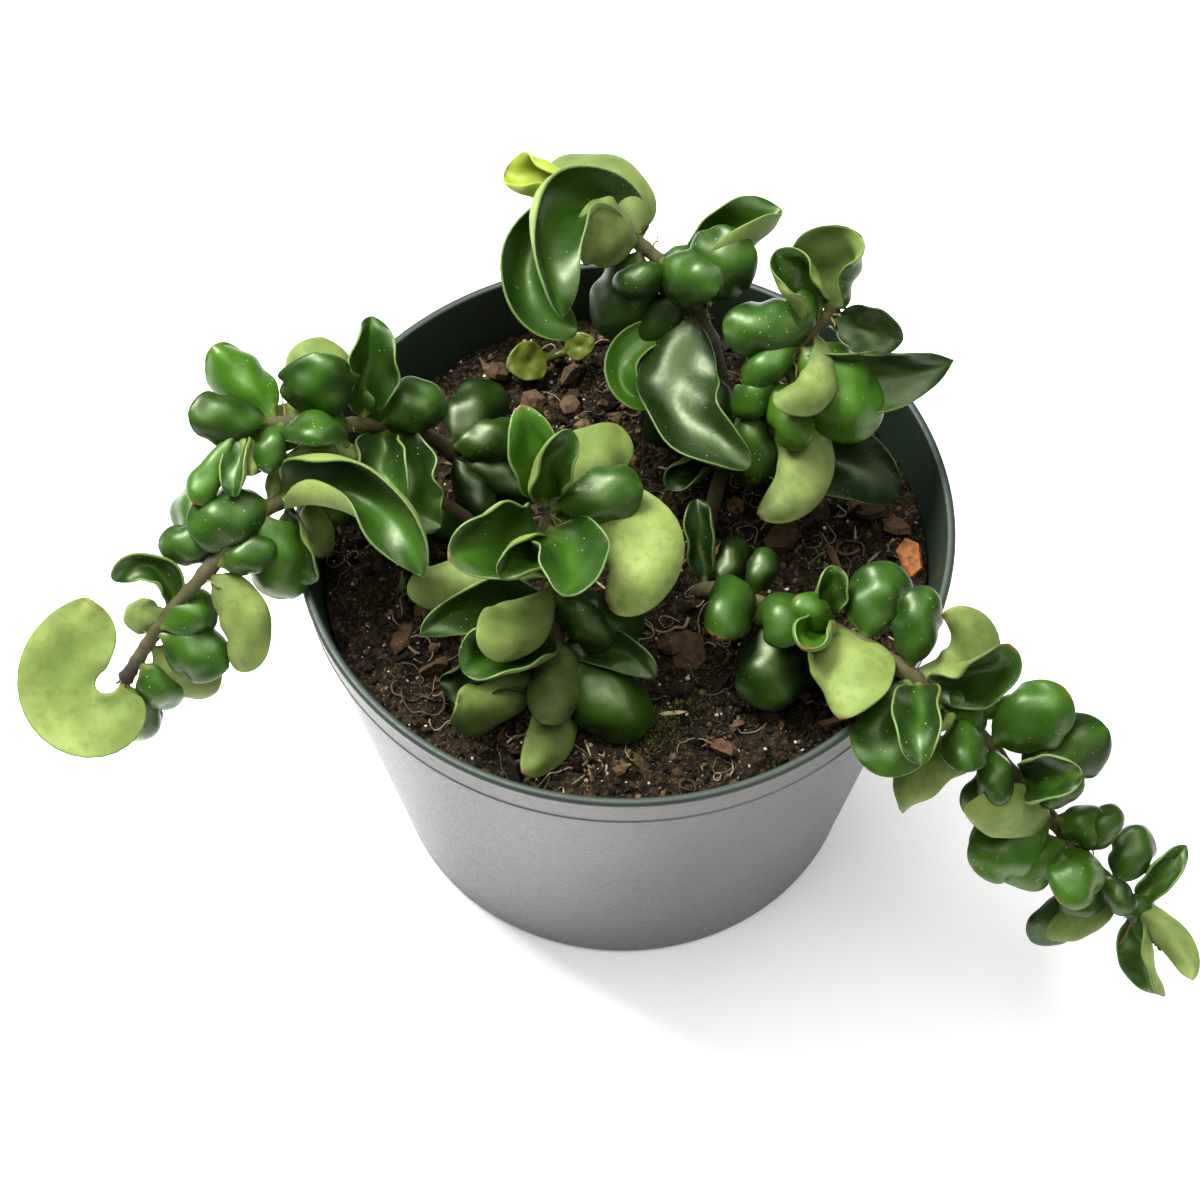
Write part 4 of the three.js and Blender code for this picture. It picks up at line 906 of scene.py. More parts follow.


# %% [markdown]
# ## The stems and their leaves
# Each stem is a smooth curve through a few points, and each leaf is one line of a list. The
# list is the CAD's, so every leaf grows from the same place, and points the same way, as the
# solid that it replaces.

# %% The list of leaves
# path: the points that a stem passes through, in mm, from its foot in the mix to its tip.
# leaves: [at, turn, lift, face, length, form, changes]
#   at      place on the path, counted in path points, with 0 at the foot
#   turn    clock direction of the leaf, from stalk to tip, on the leaning view plane: 0 right,
#           90 up, 180 left, 270 down
#   lift    how far it rises out of that plane, towards the viewer
#   face    0 shows the glossy upper face, 180 the pale underside
#   length  from the stem's middle to the tip, along the midrib, in mm
#   changes the numbers of the form that differ for this leaf
# a shade below 1 in the changes is painted shade on a leaf; above 1 it paints the leaf brighter
VINES = {
    "vine_left": {
        "path": [[-30, 10, 80], [-42, 8, 106], [-60, 2, 126], [-85, -8, 134], [-102, -23, 126],
                 [-113, -30, 115], [-124, -39, 101]],
        "leaves": [
            [5.95, 118, 0, 180, 47, "kidney", {"sweep": 430, "swing": -230, "ratio": 0.46, "skew": 0.5,
              "root": 0.45, "tip": 0.4, "cup": -15, "cup_end": -10, "curl": -10}],
            [5.65, 312, 5, 0, 24, "bead", {"ratio": 1.1}],
            [5.95, 279, -5, 0, 29, "bead", {"ratio": 0.8}],
            [5.15, 25, 40, 0, 21, "bead", {"ratio": 1.1}],
            [5.2, 335, 22, 0, 21, "dome", {"ratio": 1.0}],
            [4.0, 276, 8, 180, 29, "pale", {"sweep": 90, "ratio": 0.55, "shade": 0.85}],
            [3.9, 15, 25, 0, 18, "dome", {"ratio": 0.9}],
            [3.02, 195, 40, 0, 24, "dome", {"ratio": 1.0}],
            [3.6, 180, 8, 0, 19, "dome", {"ratio": 0.85, "curl": -50}],
            [3.6, 140, -5, 0, 25, "dome"],
            [4.9, 160, 15, 0, 25, "boat", {"sweep": 165, "ratio": 0.5}],
            [4.8, 190, -10, 180, 15, "pale", {"shade": 0.78}],
            [5.4, 322, -15, 180, 24, "pale", {"ratio": 0.75, "shade": 0.78}],
            [2.7, 280, -10, 180, 19, "pale", {"ratio": 0.6, "shade": 0.78}],
            [2.6, 305, -15, 0, 20, "bead"],
            [2.3, 285, -25, 0, 21, "bead"],
            [3.15, 285, 10, 0, 26, "dome", {"ratio": 0.95, "shade": 0.7}],
            [2.9, 287, -10, 30, 22, "boat"],
            [3.0, 330, 28, 0, 54, "boat", {"sweep": -95, "cup": 130, "cup_end": 75, "ratio": 0.58,
              "tip": 0.85}],
            [3.1, 24, -12, 180, 30, "boat", {"sweep": 95, "ratio": 0.42, "shade": 0.78}],
            [1.4, 290, 0, 0, 20, "bead"],
            [2.0, 205, -25, 180, 22, "pale", {"shade": 0.78}],
        ],
    },
    "vine_left_upper": {
        "path": [[-34, 28, 80], [-44, 24, 110], [-56, 18, 130], [-73, 10, 141],
                 [-91, 7, 146], [-97, 6, 146]],
        "leaves": [
            [3.6, 130, 15, 0, 25, "dome", {"curl": -25, "cup": -40, "ratio": 0.85, "fold": -20}],
            [3.2, 85, -4, 180, 24, "pale", {"ratio": 1.05, "shade": 0.8}],
            [3.05, 92, 62, 0, 22, "dome", {"ratio": 1.3}],
            [3.1, 268, 112, 0, 20, "dome", {"ratio": 1.5, "curl": -130}],
            [2.55, 84, 12, 15, 27, "blade", {"ratio": 0.8, "fold": 40, "cup": 40, "tip": 0.7}],
            [2.38, 25, 20, 0, 21, "dome", {"ratio": 0.9}],
            [3.65, 172, 35, 10, 22, "dome", {"ratio": 0.85, "curl": -40}],
            [4.3, 241, 24, 0, 23, "dome", {"root": 1.3, "ratio": 0.5, "curl": -30}],
            [4.1, 262, 15, 20, 19, "boat"],
            [4.3, 285, 20, 180, 14, "blade", {"shade": 0.78}],
            [2.8, 214, 18, 180, 31, "kidney", {"sweep": -95, "ratio": 0.45, "cup": 40, "shade": 0.78}],
            [2.05, 294, 15, 10, 30, "blade", {"sweep": -90, "swing": 130, "cup": 60, "cup_end": 30,
              "ratio": 0.62, "wave": 0.12}],
            [2.2, 282, 28, 0, 26, "boat", {"ratio": 0.8, "sweep": 40}],
            [1.1, 52, 5, 0, 26, "dome", {"shade": 0.5}],
            [1.1, 10, 20, 0, 21, "dome", {"shade": 0.6}],
            [1.0, 330, 16, 0, 22, "dome", {"ratio": 0.6, "curl": -30, "shade": 0.55}],
            [1.0, 300, 24, 0, 19, "dome", {"curl": -30, "shade": 0.6}],
            [2.7, 175, 68, 0, 18, "bead"],
            [3.55, 255, 70, 0, 18, "bead"],
            [2.15, 120, 70, 0, 18, "bead"],
        ],
    },
    "vine_front": {
        "path": [[-14, -34, 80], [-16, -37, 103], [-18, -30, 124], [-19, -19, 140], [-19.5, -16, 144]],
        "leaves": [
            [3.65, 103, 24, 0, 28, "blade", {"ratio": 0.66, "root": 0.7, "tip": 0.75, "fold": 25,
              "cup": 50, "hook": -10}],
            [3.9, 66, 34, 22, 25, "boat", {"ratio": 0.72, "sweep": -50, "curl": 20}],
            [3.9, 82, -10, 0, 25, "dome", {"ratio": 0.7}],
            [3.7, 50, -8, 180, 32, "pale", {"ratio": 0.62, "shade": 0.72}],
            [3.6, 15, 24, 0, 25, "dome", {"ratio": 0.8, "curl": -60, "root": 0.9}],
            [2.78, 303, 26, 180, 47, "kidney", {"sweep": 225, "ratio": 0.56, "skew": 0.2, "root": 0.9,
              "cup": 45, "cup_end": 80, "wave": 0.05}],
            [3.0, 279, 50, 0, 32, "boat", {"sweep": -50, "cup": 55, "cup_end": 35, "ratio": 0.72,
              "root": 0.4, "hook": 0}],
            [2.45, 203, 62, 0, 28, "boat", {"ratio": 0.7, "cup": 85, "fold": 30, "sweep": 50}],
            [2.3, 206, 48, 180, 30, "kidney", {"sweep": 95, "ratio": 0.6, "root": 0.9, "cup": 50,
              "cup_end": 70, "shade": 0.9}],
            [2.85, 196, 38, 5, 32, "boat", {"ratio": 1.0, "cup": 75, "cup_end": 85, "fold": 0,
              "curl": 20, "tip": 0.7}],
            [2.3, 187, 4, 180, 35, "pale", {"ratio": 0.4, "root": 0.9, "sweep": -15, "curl": 15,
              "shade": 0.8}],
            [1.65, 187, 24, 0, 38, "boat", {"ratio": 0.5, "sweep": 70, "wave": 0.15, "waves": 1.2,
              "tip": 0.8}],
            [1.6, 203, 38, 10, 31, "boat", {"ratio": 0.85, "cup": 95, "cup_end": 70, "wave": 0.12,
              "waves": 1.3, "phase": 90}],
            [1.9, 350, 18, 0, 25, "dome", {"ratio": 0.8}],
            [1.5, 250, 48, 180, 25, "pale", {"ratio": 0.75, "sweep": 60, "shade": 0.62}],
            [1.1, 188, 18, 0, 35, "boat", {"ratio": 0.62, "wave": 0.25, "waves": 1.5, "phase": 180,
              "trim": 0.88}],
            [1.25, 202, 40, 150, 37, "boat", {"ratio": 0.5, "sweep": 80, "wave": 0.1, "shade": 1.8}],
            [1.2, 249, 32, 170, 35, "blade", {"ratio": 0.4, "sweep": 60, "shade": 2.2}],
            [1.12, 322, 68, 0, 35, "bead", {"ratio": 0.85, "curl": -110, "shade": 1.6}],
            [1.35, 341, 26, 0, 29, "blade", {"ratio": 0.45, "sweep": -50}],
            [2.1, 320, 20, 0, 22, "dome"],
            [0.95, 150, 20, 0, 24, "dome"],
        ],
    },
    "vine_right": {
        "path": [[14, -6, 80], [20, -14, 104], [36, -27, 116], [58, -42, 122], [78, -54, 114],
                 [94, -62, 97], [108, -69, 79], [123, -78, 64], [134, -86, 53]],
        "leaves": [
            [1.42, 252, 118, 0, 33, "bead", {"curl": -150, "ratio": 0.78}],
            [2.05, 290, 120, 0, 28, "bead", {"ratio": 0.95, "curl": -150}],
            [2.1, 264, 40, 0, 27, "dome", {"ratio": 1.0}],
            [2.55, 82, 20, 0, 16, "boat", {"ratio": 0.9}],
            [2.55, 230, 62, 20, 21, "scroll", {"ratio": 1.0}],
            [2.58, 264, 74, 180, 33, "pale", {"ratio": 0.72, "root": 0.35, "tip": 0.6, "sweep": 70,
              "curl": 70, "cup": 30, "cup_end": 50}],
            [2.6, 140, 80, 0, 18, "bead", {"ratio": 0.9}],
            [2.95, 70, 20, 0, 23, "dome", {"ratio": 1.2}],
            [3.45, 72, 30, 10, 23, "dome", {"ratio": 0.8}],
            [3.38, 66, 20, 180, 38, "blade", {"sweep": -215, "ratio": 0.46, "cup": 50, "tip": 0.75,
              "shade": 0.72}],
            [3.6, 262, 58, 10, 28, "boat", {"cup": 60, "curl": -20, "ratio": 0.66}],
            [3.5, 250, 32, 0, 27, "dome", {"ratio": 0.85, "curl": -35, "fold": 20}],
            [4.05, 215, 45, 30, 22, "scroll", {"trim": 0.8}],
            [3.6, 28, 30, 30, 27, "boat", {"ratio": 0.8, "sweep": 50, "shade": 0.66}],
            [4.3, 55, -5, 0, 22, "bead"],
            [4.2, 262, 80, 0, 21, "dome", {"ratio": 0.85}],
            [4.6, 215, 10, 150, 27, "boat", {"ratio": 0.9, "shade": 0.85}],
            [4.7, 262, 80, 0, 20, "bead"],
            [4.6, 36, 40, 0, 25, "dome", {"ratio": 0.95}],
            [5.1, 30, 40, 0, 27, "dome", {"ratio": 0.95}],
            [5.15, 12, 60, 0, 26, "boat", {"ratio": 0.8}],
            [5.2, 200, 62, 0, 22, "bead", {"ratio": 0.95}],
            [5.75, 172, 68, 180, 34, "pale", {"ratio": 0.55, "curl": 60, "tip": 0.7, "shade": 0.9}],
            [5.4, 222, -5, 180, 20, "blade", {"shade": 0.78}],
            [5.75, 345, 20, 0, 19, "dome", {"ratio": 0.9}],
            [5.8, 208, 42, 0, 26, "dome", {"ratio": 1.0}],
            [6.1, 215, 38, 0, 28, "bead", {"ratio": 1.0}],
            [6.45, 225, 100, 0, 26, "bead", {"ratio": 1.0}],
            [6.85, 215, 25, 0, 20, "bead", {"ratio": 0.95}],
            [6.9, 216, -6, 0, 27, "dome", {"ratio": 0.6, "curl": -40}],
            [7.1, 208, 15, 180, 22, "pale", {"ratio": 0.55, "tip": 0.65, "shade": 0.9}],
            [6.9, 60, 28, 0, 19, "dome", {"ratio": 1.0}],
            [7.3, 50, 5, 0, 21, "boat", {"ratio": 0.6, "tip": 0.75}],
            [7.25, 291, 8, 40, 24, "boat", {"ratio": 0.8, "twist": 60}],
            [7.2, 305, 30, 180, 27, "blade", {"ratio": 0.4, "sweep": 50, "shade": 0.78}],
            [7.0, 320, 20, 0, 18, "bead"],
            [1.0, 95, 0, 0, 23, "boat", {"ratio": 0.6}],
            [1.2, 60, 0, 0, 18, "dome"],
            [1.7, 70, 35, 0, 18, "bead"],
            [4.45, 120, 70, 0, 20, "bead"],
            [5.5, 35, 85, 0, 20, "bead"],
            [6.3, 50, 60, 0, 20, "bead"],
            [6.75, 300, 85, 0, 17, "bead"],
        ],
    },
    "vine_back_right": {
        "path": [[20, 2, 80], [22, 8, 108], [28, 16, 130], [38, 25, 146], [48, 32, 154], [52, 35, 156]],
        "leaves": [
            [4.0, 125, 25, 0, 24, "scroll", {"ratio": 1.0}],
            [4.2, 78, 15, 180, 25, "scoop", {"ratio": 1.15, "cup": -120, "cup_end": -100, "lean": 0.5,
              "root": 0.4, "tip": 0.3, "shade": 0.8}],
            [4.1, 345, 0, 0, 20, "blade", {"ratio": 0.8, "shade": 0.4}],
            [4.05, 184, 28, 0, 26, "dome", {"curl": -50, "ratio": 0.9}],
            [3.7, 226, 48, 180, 29, "pale", {"sweep": 150, "ratio": 0.48, "shade": 0.68}],
            [3.4, 312, 18, 0, 31, "dome", {"ratio": 0.9}],
            [2.95, 4, -8, 20, 45, "blade", {"sweep": 30, "ratio": 0.5, "tip": 0.9, "cup": 40,
              "cup_end": 20, "fold": 30, "shade": 0.65}],
            [2.5, 262, 14, 180, 41, "kidney", {"sweep": 150, "ratio": 0.42, "cup": 60, "cup_end": 40,
              "tip": 0.6, "shade": 0.72}],
            [2.9, 235, 40, 0, 21, "bead"],
            [1.8, 342, -10, 0, 46, "blade", {"ratio": 0.55, "sweep": -40, "shade": 0.6}],
            [2.3, 345, 18, 0, 26, "dome"],
            [2.4, 270, 15, 0, 23, "dome"],
            [3.4, 215, 45, 0, 22, "bead"],
            [2.8, 290, 40, 0, 22, "dome"],
            [3.55, 95, 60, 0, 19, "bead"],
        ],
    },
    "vine_back_left": {
        "path": [[26, 22, 80], [26, 28, 112], [22, 38, 136], [14, 47, 150], [3, 54, 158], [-8, 60, 164]],
        "leaves": [
            [4.0, 157, -4, 180, 36, "pale", {"sweep": -110, "ratio": 0.7, "shade": 0.62}],
            [3.85, 227, 42, 0, 64, "boat", {"sweep": 280, "swing": -115, "skew": 0.1, "cup": 100,
              "ratio": 0.42, "tip": 0.65}],
            [3.95, 171, 58, 180, 21, "pale", {"ratio": 1.1, "curl": 60, "shade": 0.6}],
            [4.75, 264, 2, 0, 49, "boat", {"sweep": 180, "ratio": 0.42}],
            [5.0, 158, -12, 20, 24, "scroll", {"young": 1, "ratio": 1.1}],
            [3.9, 250, 0, 0, 29, "dome", {"shade": 0.5}],
            [2.9, 225, 0, 0, 27, "dome", {"shade": 0.6}],
            [2.85, 32, 75, 0, 27, "dome", {"curl": -110, "ratio": 1.0}],
            [3.5, 330, 65, 0, 22, "dome", {"ratio": 1.0}],
            [2.5, 50, 14, -50, 33, "boat", {"ratio": 0.95, "fold": 35}],
            [2.1, 245, 8, 0, 42, "boat", {"sweep": 60, "swing": 150, "ratio": 0.28, "root": 0.9,
              "cup": 50}],
            [1.4, 200, 5, 0, 25, "dome", {"ratio": 1.0}],
            [0.9, 215, 20, 0, 22, "scroll"],
            [2.5, 112, 50, 0, 20, "dome", {"ratio": 1.3}],
            [2.5, 292, 20, 0, 51, "boat", {"sweep": 105, "ratio": 0.45, "cup": -45, "cup_end": 110,
              "fold": 0, "wave": 0.06, "root": 0.4, "shade": 0.6}],
            [1.7, 262, 30, 0, 25, "dome"],
            [3.3, 200, 60, 0, 21, "bead", {"shade": 0.8}],
        ],
    },
    "sprout": {
        "path": [[-15, 64, 80], [-17, 62, 98], [-18, 60, 104]],
        "leaves": [
            [1.9, 195, 25, 0, 15, "blade", {"ratio": 1.0, "cup": 10, "cup_end": 10, "hook": 0,
              "young": 1}],
            [1.95, 20, 20, 0, 12, "blade", {"ratio": 0.8, "cup": 10, "cup_end": 10, "hook": 0,
              "young": 1}],
        ],
    },
}


# %% [markdown]
# A stem's curve is a Catmull-Rom spline: between two points it is a cubic whose slope at each
# point is half the way between that point's neighbours.

# %% A point on a stem
def stem_points(path, at):
    """Places on the curve through the path's points, for an array of positions along it."""
    path = np.asarray(path, float)
    padded = np.concatenate([[2 * path[0] - path[1]], path, [2 * path[-1] - path[-2]]])
    at = np.atleast_1d(at)
    first = np.clip(np.floor(at).astype(int), 0, len(path) - 2)
    t = (at - first)[:, None]
    before, start, end, after = (padded[first + k] for k in range(4))
    return 0.5 * (2 * start + (end - before) * t
                  + (2 * before - 5 * start + 4 * end - after) * t ** 2
                  + (3 * start - before - 3 * end + after) * t ** 3)


# %% [markdown]
# The leaves of one stem make one piece. Every leaf is a tube of rings with a flat cap at its
# stalk, inside the stem, and one at its tip, too small to see.

# %% Leaf pieces
def leaf_piece(name, vine, rng):
    """All leaves of one stem as one piece."""
    grown = [leaf(stem_points(vine["path"], at)[0], turn, lift, face, length, form_name,
                  changes[0] if changes else {}, rng)
             for at, turn, lift, face, length, form_name, *changes in vine["leaves"]]
    points = np.array([rings for rings, _ in grown])
    values = {label: np.array([carried[label] for _, carried in grown]).ravel()
              for label in grown[0][1]}
    faces = tube_faces(*points.shape[1:3], copies=len(grown), turn=-1)
    return make_piece(f"{name}_leaves", points.reshape(-1, 3) * MM, faces, values,
                      [name])


leaf_pieces = [leaf_piece(name, vine, np.random.default_rng(100 + k))
               for k, (name, vine) in enumerate(VINES.items())]

# %% [markdown]
# The stems are woody and a little knobbly: olive brown, with a swelling where each leaf grows,
# fine cracks along them, and a blunt, dark, ringed end where they stopped growing.

# %% Stems
STEM_RADIUS, STEM_TIP_RADIUS = 2.2, 1.6
STEM_SIDES, STEM_STEPS = 16, 16          # points round a stem; rings from one path point on
THINNEST, SWELL, SWELL_WIDTH = 0.93, 0.22, 0.1
STEM_END = (1.0, 1.2, 1.08, 1.2, 0.7)    # factors on the last rings


def stem_piece(name, vine):
    """
    A tube along the stem's curve. Its radius falls evenly towards the tip, times
    THINNEST + SWELL * exp(-(distance to the nearest leaf / SWELL_WIDTH)^2), and noise in two
    sizes pushes its points in and out.
    """
    path = vine["path"]
    at = np.linspace(0, len(path) - 1, STEM_STEPS * (len(path) - 1) + 1)
    centre = stem_points(path, at)
    share = at / at[-1]
    nodes = np.array([entry[0] for entry in vine["leaves"]])
    swell = np.exp(-((at[:, None] - nodes) / SWELL_WIDTH) ** 2).max(axis=1)
    radius = (STEM_RADIUS + (STEM_TIP_RADIUS - STEM_RADIUS) * share) * (THINNEST + SWELL * swell)
    radius[-len(STEM_END):] *= STEM_END
    points, faces = tubes(centre[None], radius[None], STEM_SIDES)
    middle = np.repeat(centre, STEM_SIDES, axis=0)
    rough = 1 + 0.10 * noise(points, 1.6, 3) + 0.06 * noise(points, 0.7, 4)
    points = middle + (points - middle) * rough[:, None]
    return make_piece(f"{name}_stem", points * MM, faces,
                      {"along": np.repeat(share, STEM_SIDES)})


stem_pieces = [stem_piece(name, vine) for name, vine in VINES.items()]

# %% [markdown]
# Short aerial roots hang from the stems, and a few dry brown scales stand where the growing
# tips have stopped. Both are thin tubes that start on a stem.

# %% Aerial roots and dry scales: shape
SHOOT_STEPS, SHOOT_SIDES = 9, 6
FULL_STEM = 5                    # a seedling has fewer leaves than this, and no shoots


def shoots(feet, ways, lengths, radii, drop, rng):
    """
    Thin tubes from those feet: the point at share t is foot + length * (way * t - drop * t^2 * z),
    with a small sideways wander added.
    """
    t = np.linspace(0, 1, SHOOT_STEPS)[:, None]
    wander = np.cumsum(rng.normal(0, 0.05, (len(feet), SHOOT_STEPS, 3)), axis=1) * t
    paths = feet[:, None] + lengths[:, None, None] * (
        ways[:, None] * t - drop * t ** 2 * np.array([0, 0, 1]) + wander)
    return tubes(paths, radii[:, None] * np.linspace(1, 0.4, SHOOT_STEPS), SHOOT_SIDES)


def shoot_piece(name, count, spread, length, radius, drop, tones, rng, at_tip=False):
    """Shoots on every stem: anywhere along it, across it, or at its tip and along it."""
    feet, ways = [], []
    for vine in VINES.values():
        if len(vine["leaves"]) < FULL_STEM:
            continue
        last = len(vine["path"]) - 1
        at = np.full(count, last - 0.05) if at_tip else rng.uniform(0.3, 0.95, count) * last
        foot = stem_points(vine["path"], at)
        along = unit(foot - stem_points(vine["path"], at - 0.1))
        feet.append(foot)
        ways.append(unit(along * at_tip + spread * rng.normal(size=foot.shape)))
    feet, ways = np.concatenate(feet), np.concatenate(ways)
    points, faces = shoots(feet, ways, rng.uniform(*length, len(feet)),
                           rng.uniform(*radius, len(feet)), drop, rng)
    tone = np.repeat(rng.uniform(*tones, len(feet)), len(points) // len(feet))
    return make_piece(name, points * MM, faces, {"tone": tone})


# %% Aerial roots and dry scales: pieces and finish
SCALE_BROWN, DRY_BROWN, ROOT_GREEN = linear(34, 24, 16), linear(96, 72, 46), linear(126, 118, 72)

rng = np.random.default_rng(31)
aerial = shoot_piece("aerial_roots", 12, 1.0, (4, 9), (0.28, 0.42), 0.5, (0.5, 1), rng)
scales = shoot_piece("dry_scales", 6, 0.4, (1.6, 3.6), (0.45, 0.8), 0, (0, 0.4), rng, True)
dry = Finish("dry roots and scales", roughness=0.8, specular=0.2)
tone = dry.value("tone")
colour = dry.mix(dry.ramp(tone, 0, 0.4), SCALE_BROWN, DRY_BROWN)
colour = dry.mix(dry.ramp(tone, 0.5, 1), colour, ROOT_GREEN)
dry.cover(aerial, scales, colour=colour, relief=dry.clouds(800), depth=0.2 * MM)

# %% [markdown]
# ## Leaf finish
# The upper face is waxy: deep green, lighter along the middle, with small pale flecks, dust
# near the edges and a soft shine. Old leaves are darker and a few young ones light. The
# material starts from what the mesh carries: how far along and across the blade a point is,
# which side it faces, and the leaf's own tone.

# %% Leaves: upper face
OLD_GREEN, DEEP_GREEN, LIGHT_GREEN = linear(14, 33, 4), linear(25, 52, 7), linear(52, 90, 12)
PATCH_GREEN, MIDRIB_GREEN, DARK_SPECK = linear(45, 80, 12), linear(64, 104, 20), linear(12, 28, 4)
FLECK, LEAF_DUST = linear(176, 190, 146), linear(150, 172, 116)

wax = Finish("hoya leaf", specular=0.42, tint=(0.8, 0.95, 0.6, 1))
side, across, along, tone, young, shade = (
    wax.value(label) for label in ("side", "across", "along", "tone", "young", "shade"))
reach = wax.math("ABSOLUTE", across)
broad, velvet, fine = wax.clouds(38, 3, 0.6), wax.clouds(150, 3, 0.6), wax.clouds(420, 4, 0.65)
flecks = wax.dots(620, 0.06, 0.13, wax.ramp(wax.clouds(90), 0.5, 0.58, 0, 0.7))
dust = wax.dots(1500, 0.1, 0.2, wax.ramp(reach, 0.78, 0.98, 0, 0.55))

upper = wax.mix(tone, OLD_GREEN, DEEP_GREEN)
upper = wax.mix(wax.ramp(tone, 0.78, 1.0, 0, 0.8), upper, LIGHT_GREEN)
upper = wax.mix(wax.ramp(broad, 0.42, 0.75, 0, 0.65), upper, PATCH_GREEN)
upper = wax.mix(wax.ramp(reach, 0.0, 0.5, 0.3, 0), upper, MIDRIB_GREEN)
upper = wax.mix(wax.ramp(fine, 0.56, 0.74, 0, 0.35), upper, DARK_SPECK)
upper = wax.mix(flecks, upper, FLECK)
upper = wax.mix(dust, upper, LEAF_DUST)

# %% [markdown]
# The underside is yellow-green, matt and velvety, darker in soft patches and near the stalk,
# with a painted sheen that lightens it towards the margin. The rim between the two faces is a
# thin pale line.

# %% Leaves: underside and rim
YELLOW_GREEN, PALE_GREEN, PAINTED_SHEEN = (
    linear(108, 124, 56), linear(130, 144, 76), linear(134, 148, 88))
PATCH, VELVET, VELVET_SPECK, NEAR_STALK = (
    linear(80, 100, 40), linear(76, 98, 40), linear(52, 72, 26), linear(60, 82, 26))
LOWER_RIM, UPPER_RIM = linear(40, 62, 18), linear(98, 120, 66)

lower = wax.mix(tone, YELLOW_GREEN, PALE_GREEN)
lower = wax.mix(wax.ramp(broad, 0.35, 0.7), lower, PATCH)
lower = wax.mix(wax.ramp(velvet, 0.42, 0.66, 0, 0.4), lower, VELVET)
lower = wax.mix(wax.ramp(fine, 0.5, 0.75, 0, 0.4), lower, VELVET_SPECK)
# painted sheen: the underside is lightened towards the margin, where velvet catches light
lower = wax.mix(wax.ramp(reach, 0.72, 1.0, 0, 0.15), lower, PAINTED_SHEEN)
lower = wax.mix(wax.ramp(along, 0.0, 0.22, 0.5, 0.0), lower, NEAR_STALK)
colour = wax.mix(wax.ramp(side, -0.45, 0.1), lower, upper)
edge = wax.mix(wax.ramp(side, -0.55, 0.1), LOWER_RIM, UPPER_RIM)
colour = wax.mix(wax.ramp(reach, 1.0, 1.04, 0, 0.7), colour, edge)

# %% [markdown]
# Last come the few yellow leaves, dry brown tips on some, the green-brown stalk, and the painted
# shade: deep in the pot, and on leaves listed darker or brighter. The relief is a sum of noise in
# four sizes, the broadest the strongest, which makes the highlights uneven. A little light
# passes under the skin.

# %% Leaves: the whole finish
YOUNG_YELLOW, DRY_TIP, STALK_GREEN = linear(128, 140, 44), linear(92, 70, 34), linear(84, 92, 36)
DEEP_SHADE = linear(3, 6, 1)
SKIN_DEPTH = 2.5 * MM            # how far light goes under the skin

colour = wax.mix(wax.ramp(young, 0, 1, 0, 0.8), colour, YOUNG_YELLOW)
dry_tip = wax.math("MULTIPLY", wax.ramp(along, 0.955, 0.985), wax.ramp(tone, 0.66, 0.72))
colour = wax.mix(dry_tip, colour, DRY_TIP)
colour = wax.mix(wax.ramp(along, -0.06, 0.03, 1.0, 0.0), colour, STALK_GREEN)
# painted shade: the shade value mixes each leaf's colour towards the near-black DEEP_SHADE
colour = wax.mix(shade, DEEP_SHADE, colour)
gloss = wax.math("ADD", wax.ramp(side, -0.4, 0.2, 0.62, 0.37), wax.ramp(fine, 0.4, 0.7, 0, 0.08))
relief = fine
for pattern, height in ((velvet, 2), (wax.clouds(85, 2), 6), (wax.clouds(46, 2), 14)):
    relief = wax.math("MULTIPLY_ADD", pattern, height, relief)
wax.shader.inputs["Subsurface Weight"].default_value = 0.12
wax.shader.inputs["Subsurface Radius"].default_value = (0.4, 1.0, 0.15)
wax.shader.inputs["Subsurface Scale"].default_value = SKIN_DEPTH
wax.cover(*leaf_pieces, colour=colour, roughness=gloss, relief=relief, depth=0.14 * MM,
          strength=0.4)

# %% [markdown]
# The stems' bark is olive brown with green patches, dark at the dead tip and in the cracks.

# %% Stems: bark
STEM_BROWN, STEM_GREEN = linear(66, 56, 34), linear(62, 68, 32)
DEAD_TIP, STEM_CRACK = linear(36, 26, 17), linear(40, 30, 20)

wood = Finish("hoya stem", roughness=0.75, specular=0.3)
cracks = wood.clouds(500, 5, 0.7)
colour = wood.mix(wood.ramp(wood.clouds(60, 3), 0.35, 0.65), STEM_BROWN, STEM_GREEN)
colour = wood.mix(wood.ramp(wood.value("along"), 0.93, 0.97), colour, DEAD_TIP)
colour = wood.mix(wood.ramp(cracks, 0.45, 0.75, 0, 0.8), colour, STEM_CRACK)
wood.cover(*stem_pieces, colour=colour, relief=cracks, depth=0.4 * MM, strength=0.8)

# %% [markdown]
# ## Floor and light
# The photograph is high-key: a white ground, soft light from the upper left, and white all
# round. The floor is a pale sheet that glows a little, which thins the shadows.

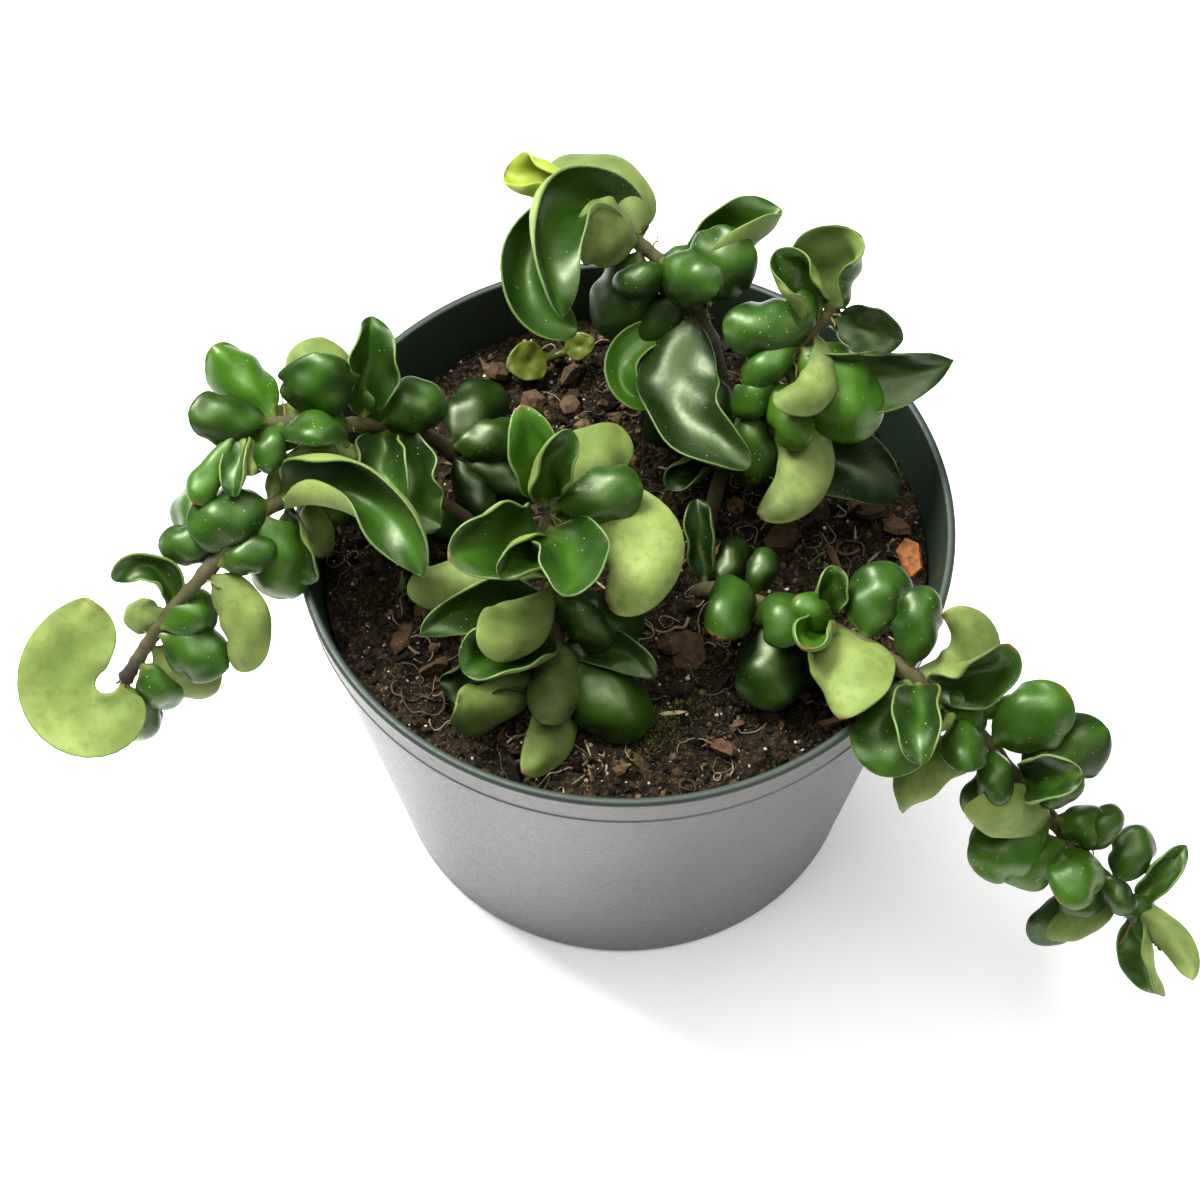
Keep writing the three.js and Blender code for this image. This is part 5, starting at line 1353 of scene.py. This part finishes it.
# %% Floor
FLOOR_HALF, FLOOR_DROP = 4, 0.0002       # half the sheet's width and its depth under the pot, m
GLOW = 0.22
WHITE, SOFT_WHITE = linear(250, 250, 250), linear(246, 246, 246)

corners = [(x * FLOOR_HALF, y * FLOOR_HALF, -FLOOR_DROP)
           for x, y in ((-1, -1), (1, -1), (1, 1), (-1, 1))]
floor_mesh = bpy.data.meshes.new("floor")
floor_mesh.from_pydata(corners, [], [(0, 1, 2, 3)])
floor = bpy.data.objects.new("floor", floor_mesh)
bpy.context.scene.collection.objects.link(floor)
paper = Finish("pale floor", roughness=0.9, specular=0.2)
paper.shader.inputs["Emission Color"].default_value = (1, 1, 1, 1)
paper.shader.inputs["Emission Strength"].default_value = GLOW
paper.cover(floor, colour=paper.mix(paper.clouds(3, 2), SOFT_WHITE, WHITE))

# %% [markdown]
# Three square lights face the plant. The key stands behind it to the left and is small enough
# to give the leaves their bright highlights; a large one overhead lights the whole pot; and a
# weak one in front on the right keeps the shadows open. The world adds a little white all round.

# %% Lights
PLANT_MIDDLE = (0, 0, 0.12)      # where the lights look, in metres
WORLD_LIGHT = 0.06


def softbox(name, place, size, watts):
    """A square area light that faces the plant."""
    data = bpy.data.lights.new(name, "AREA")
    data.shape = "SQUARE"
    data.size = size
    data.energy = watts
    light = bpy.data.objects.new(name, data)
    light.location = place
    x, y, z = np.subtract(PLANT_MIDDLE, place)
    light.rotation_euler = (float(np.arctan2(np.hypot(x, y), -z)), 0,
                            float(np.arctan2(y, x) - np.pi / 2))
    bpy.context.scene.collection.objects.link(light)


softbox("key", (-0.66, 0.44, 1.4), 0.6, 70)
softbox("overhead", (0.1, 0.0, 1.9), 1.8, 48)
softbox("fill", (0.9, -0.9, 0.9), 0.8, 3)
world = bpy.data.worlds.new("pale room")
world.use_nodes = True
background = world.node_tree.nodes["Background"]
background.inputs["Color"].default_value = (1, 1, 1, 1)
background.inputs["Strength"].default_value = WORLD_LIGHT
bpy.context.scene.world = world
bpy.context.scene.view_settings.view_transform = "Standard"
print("lights and floor are set")
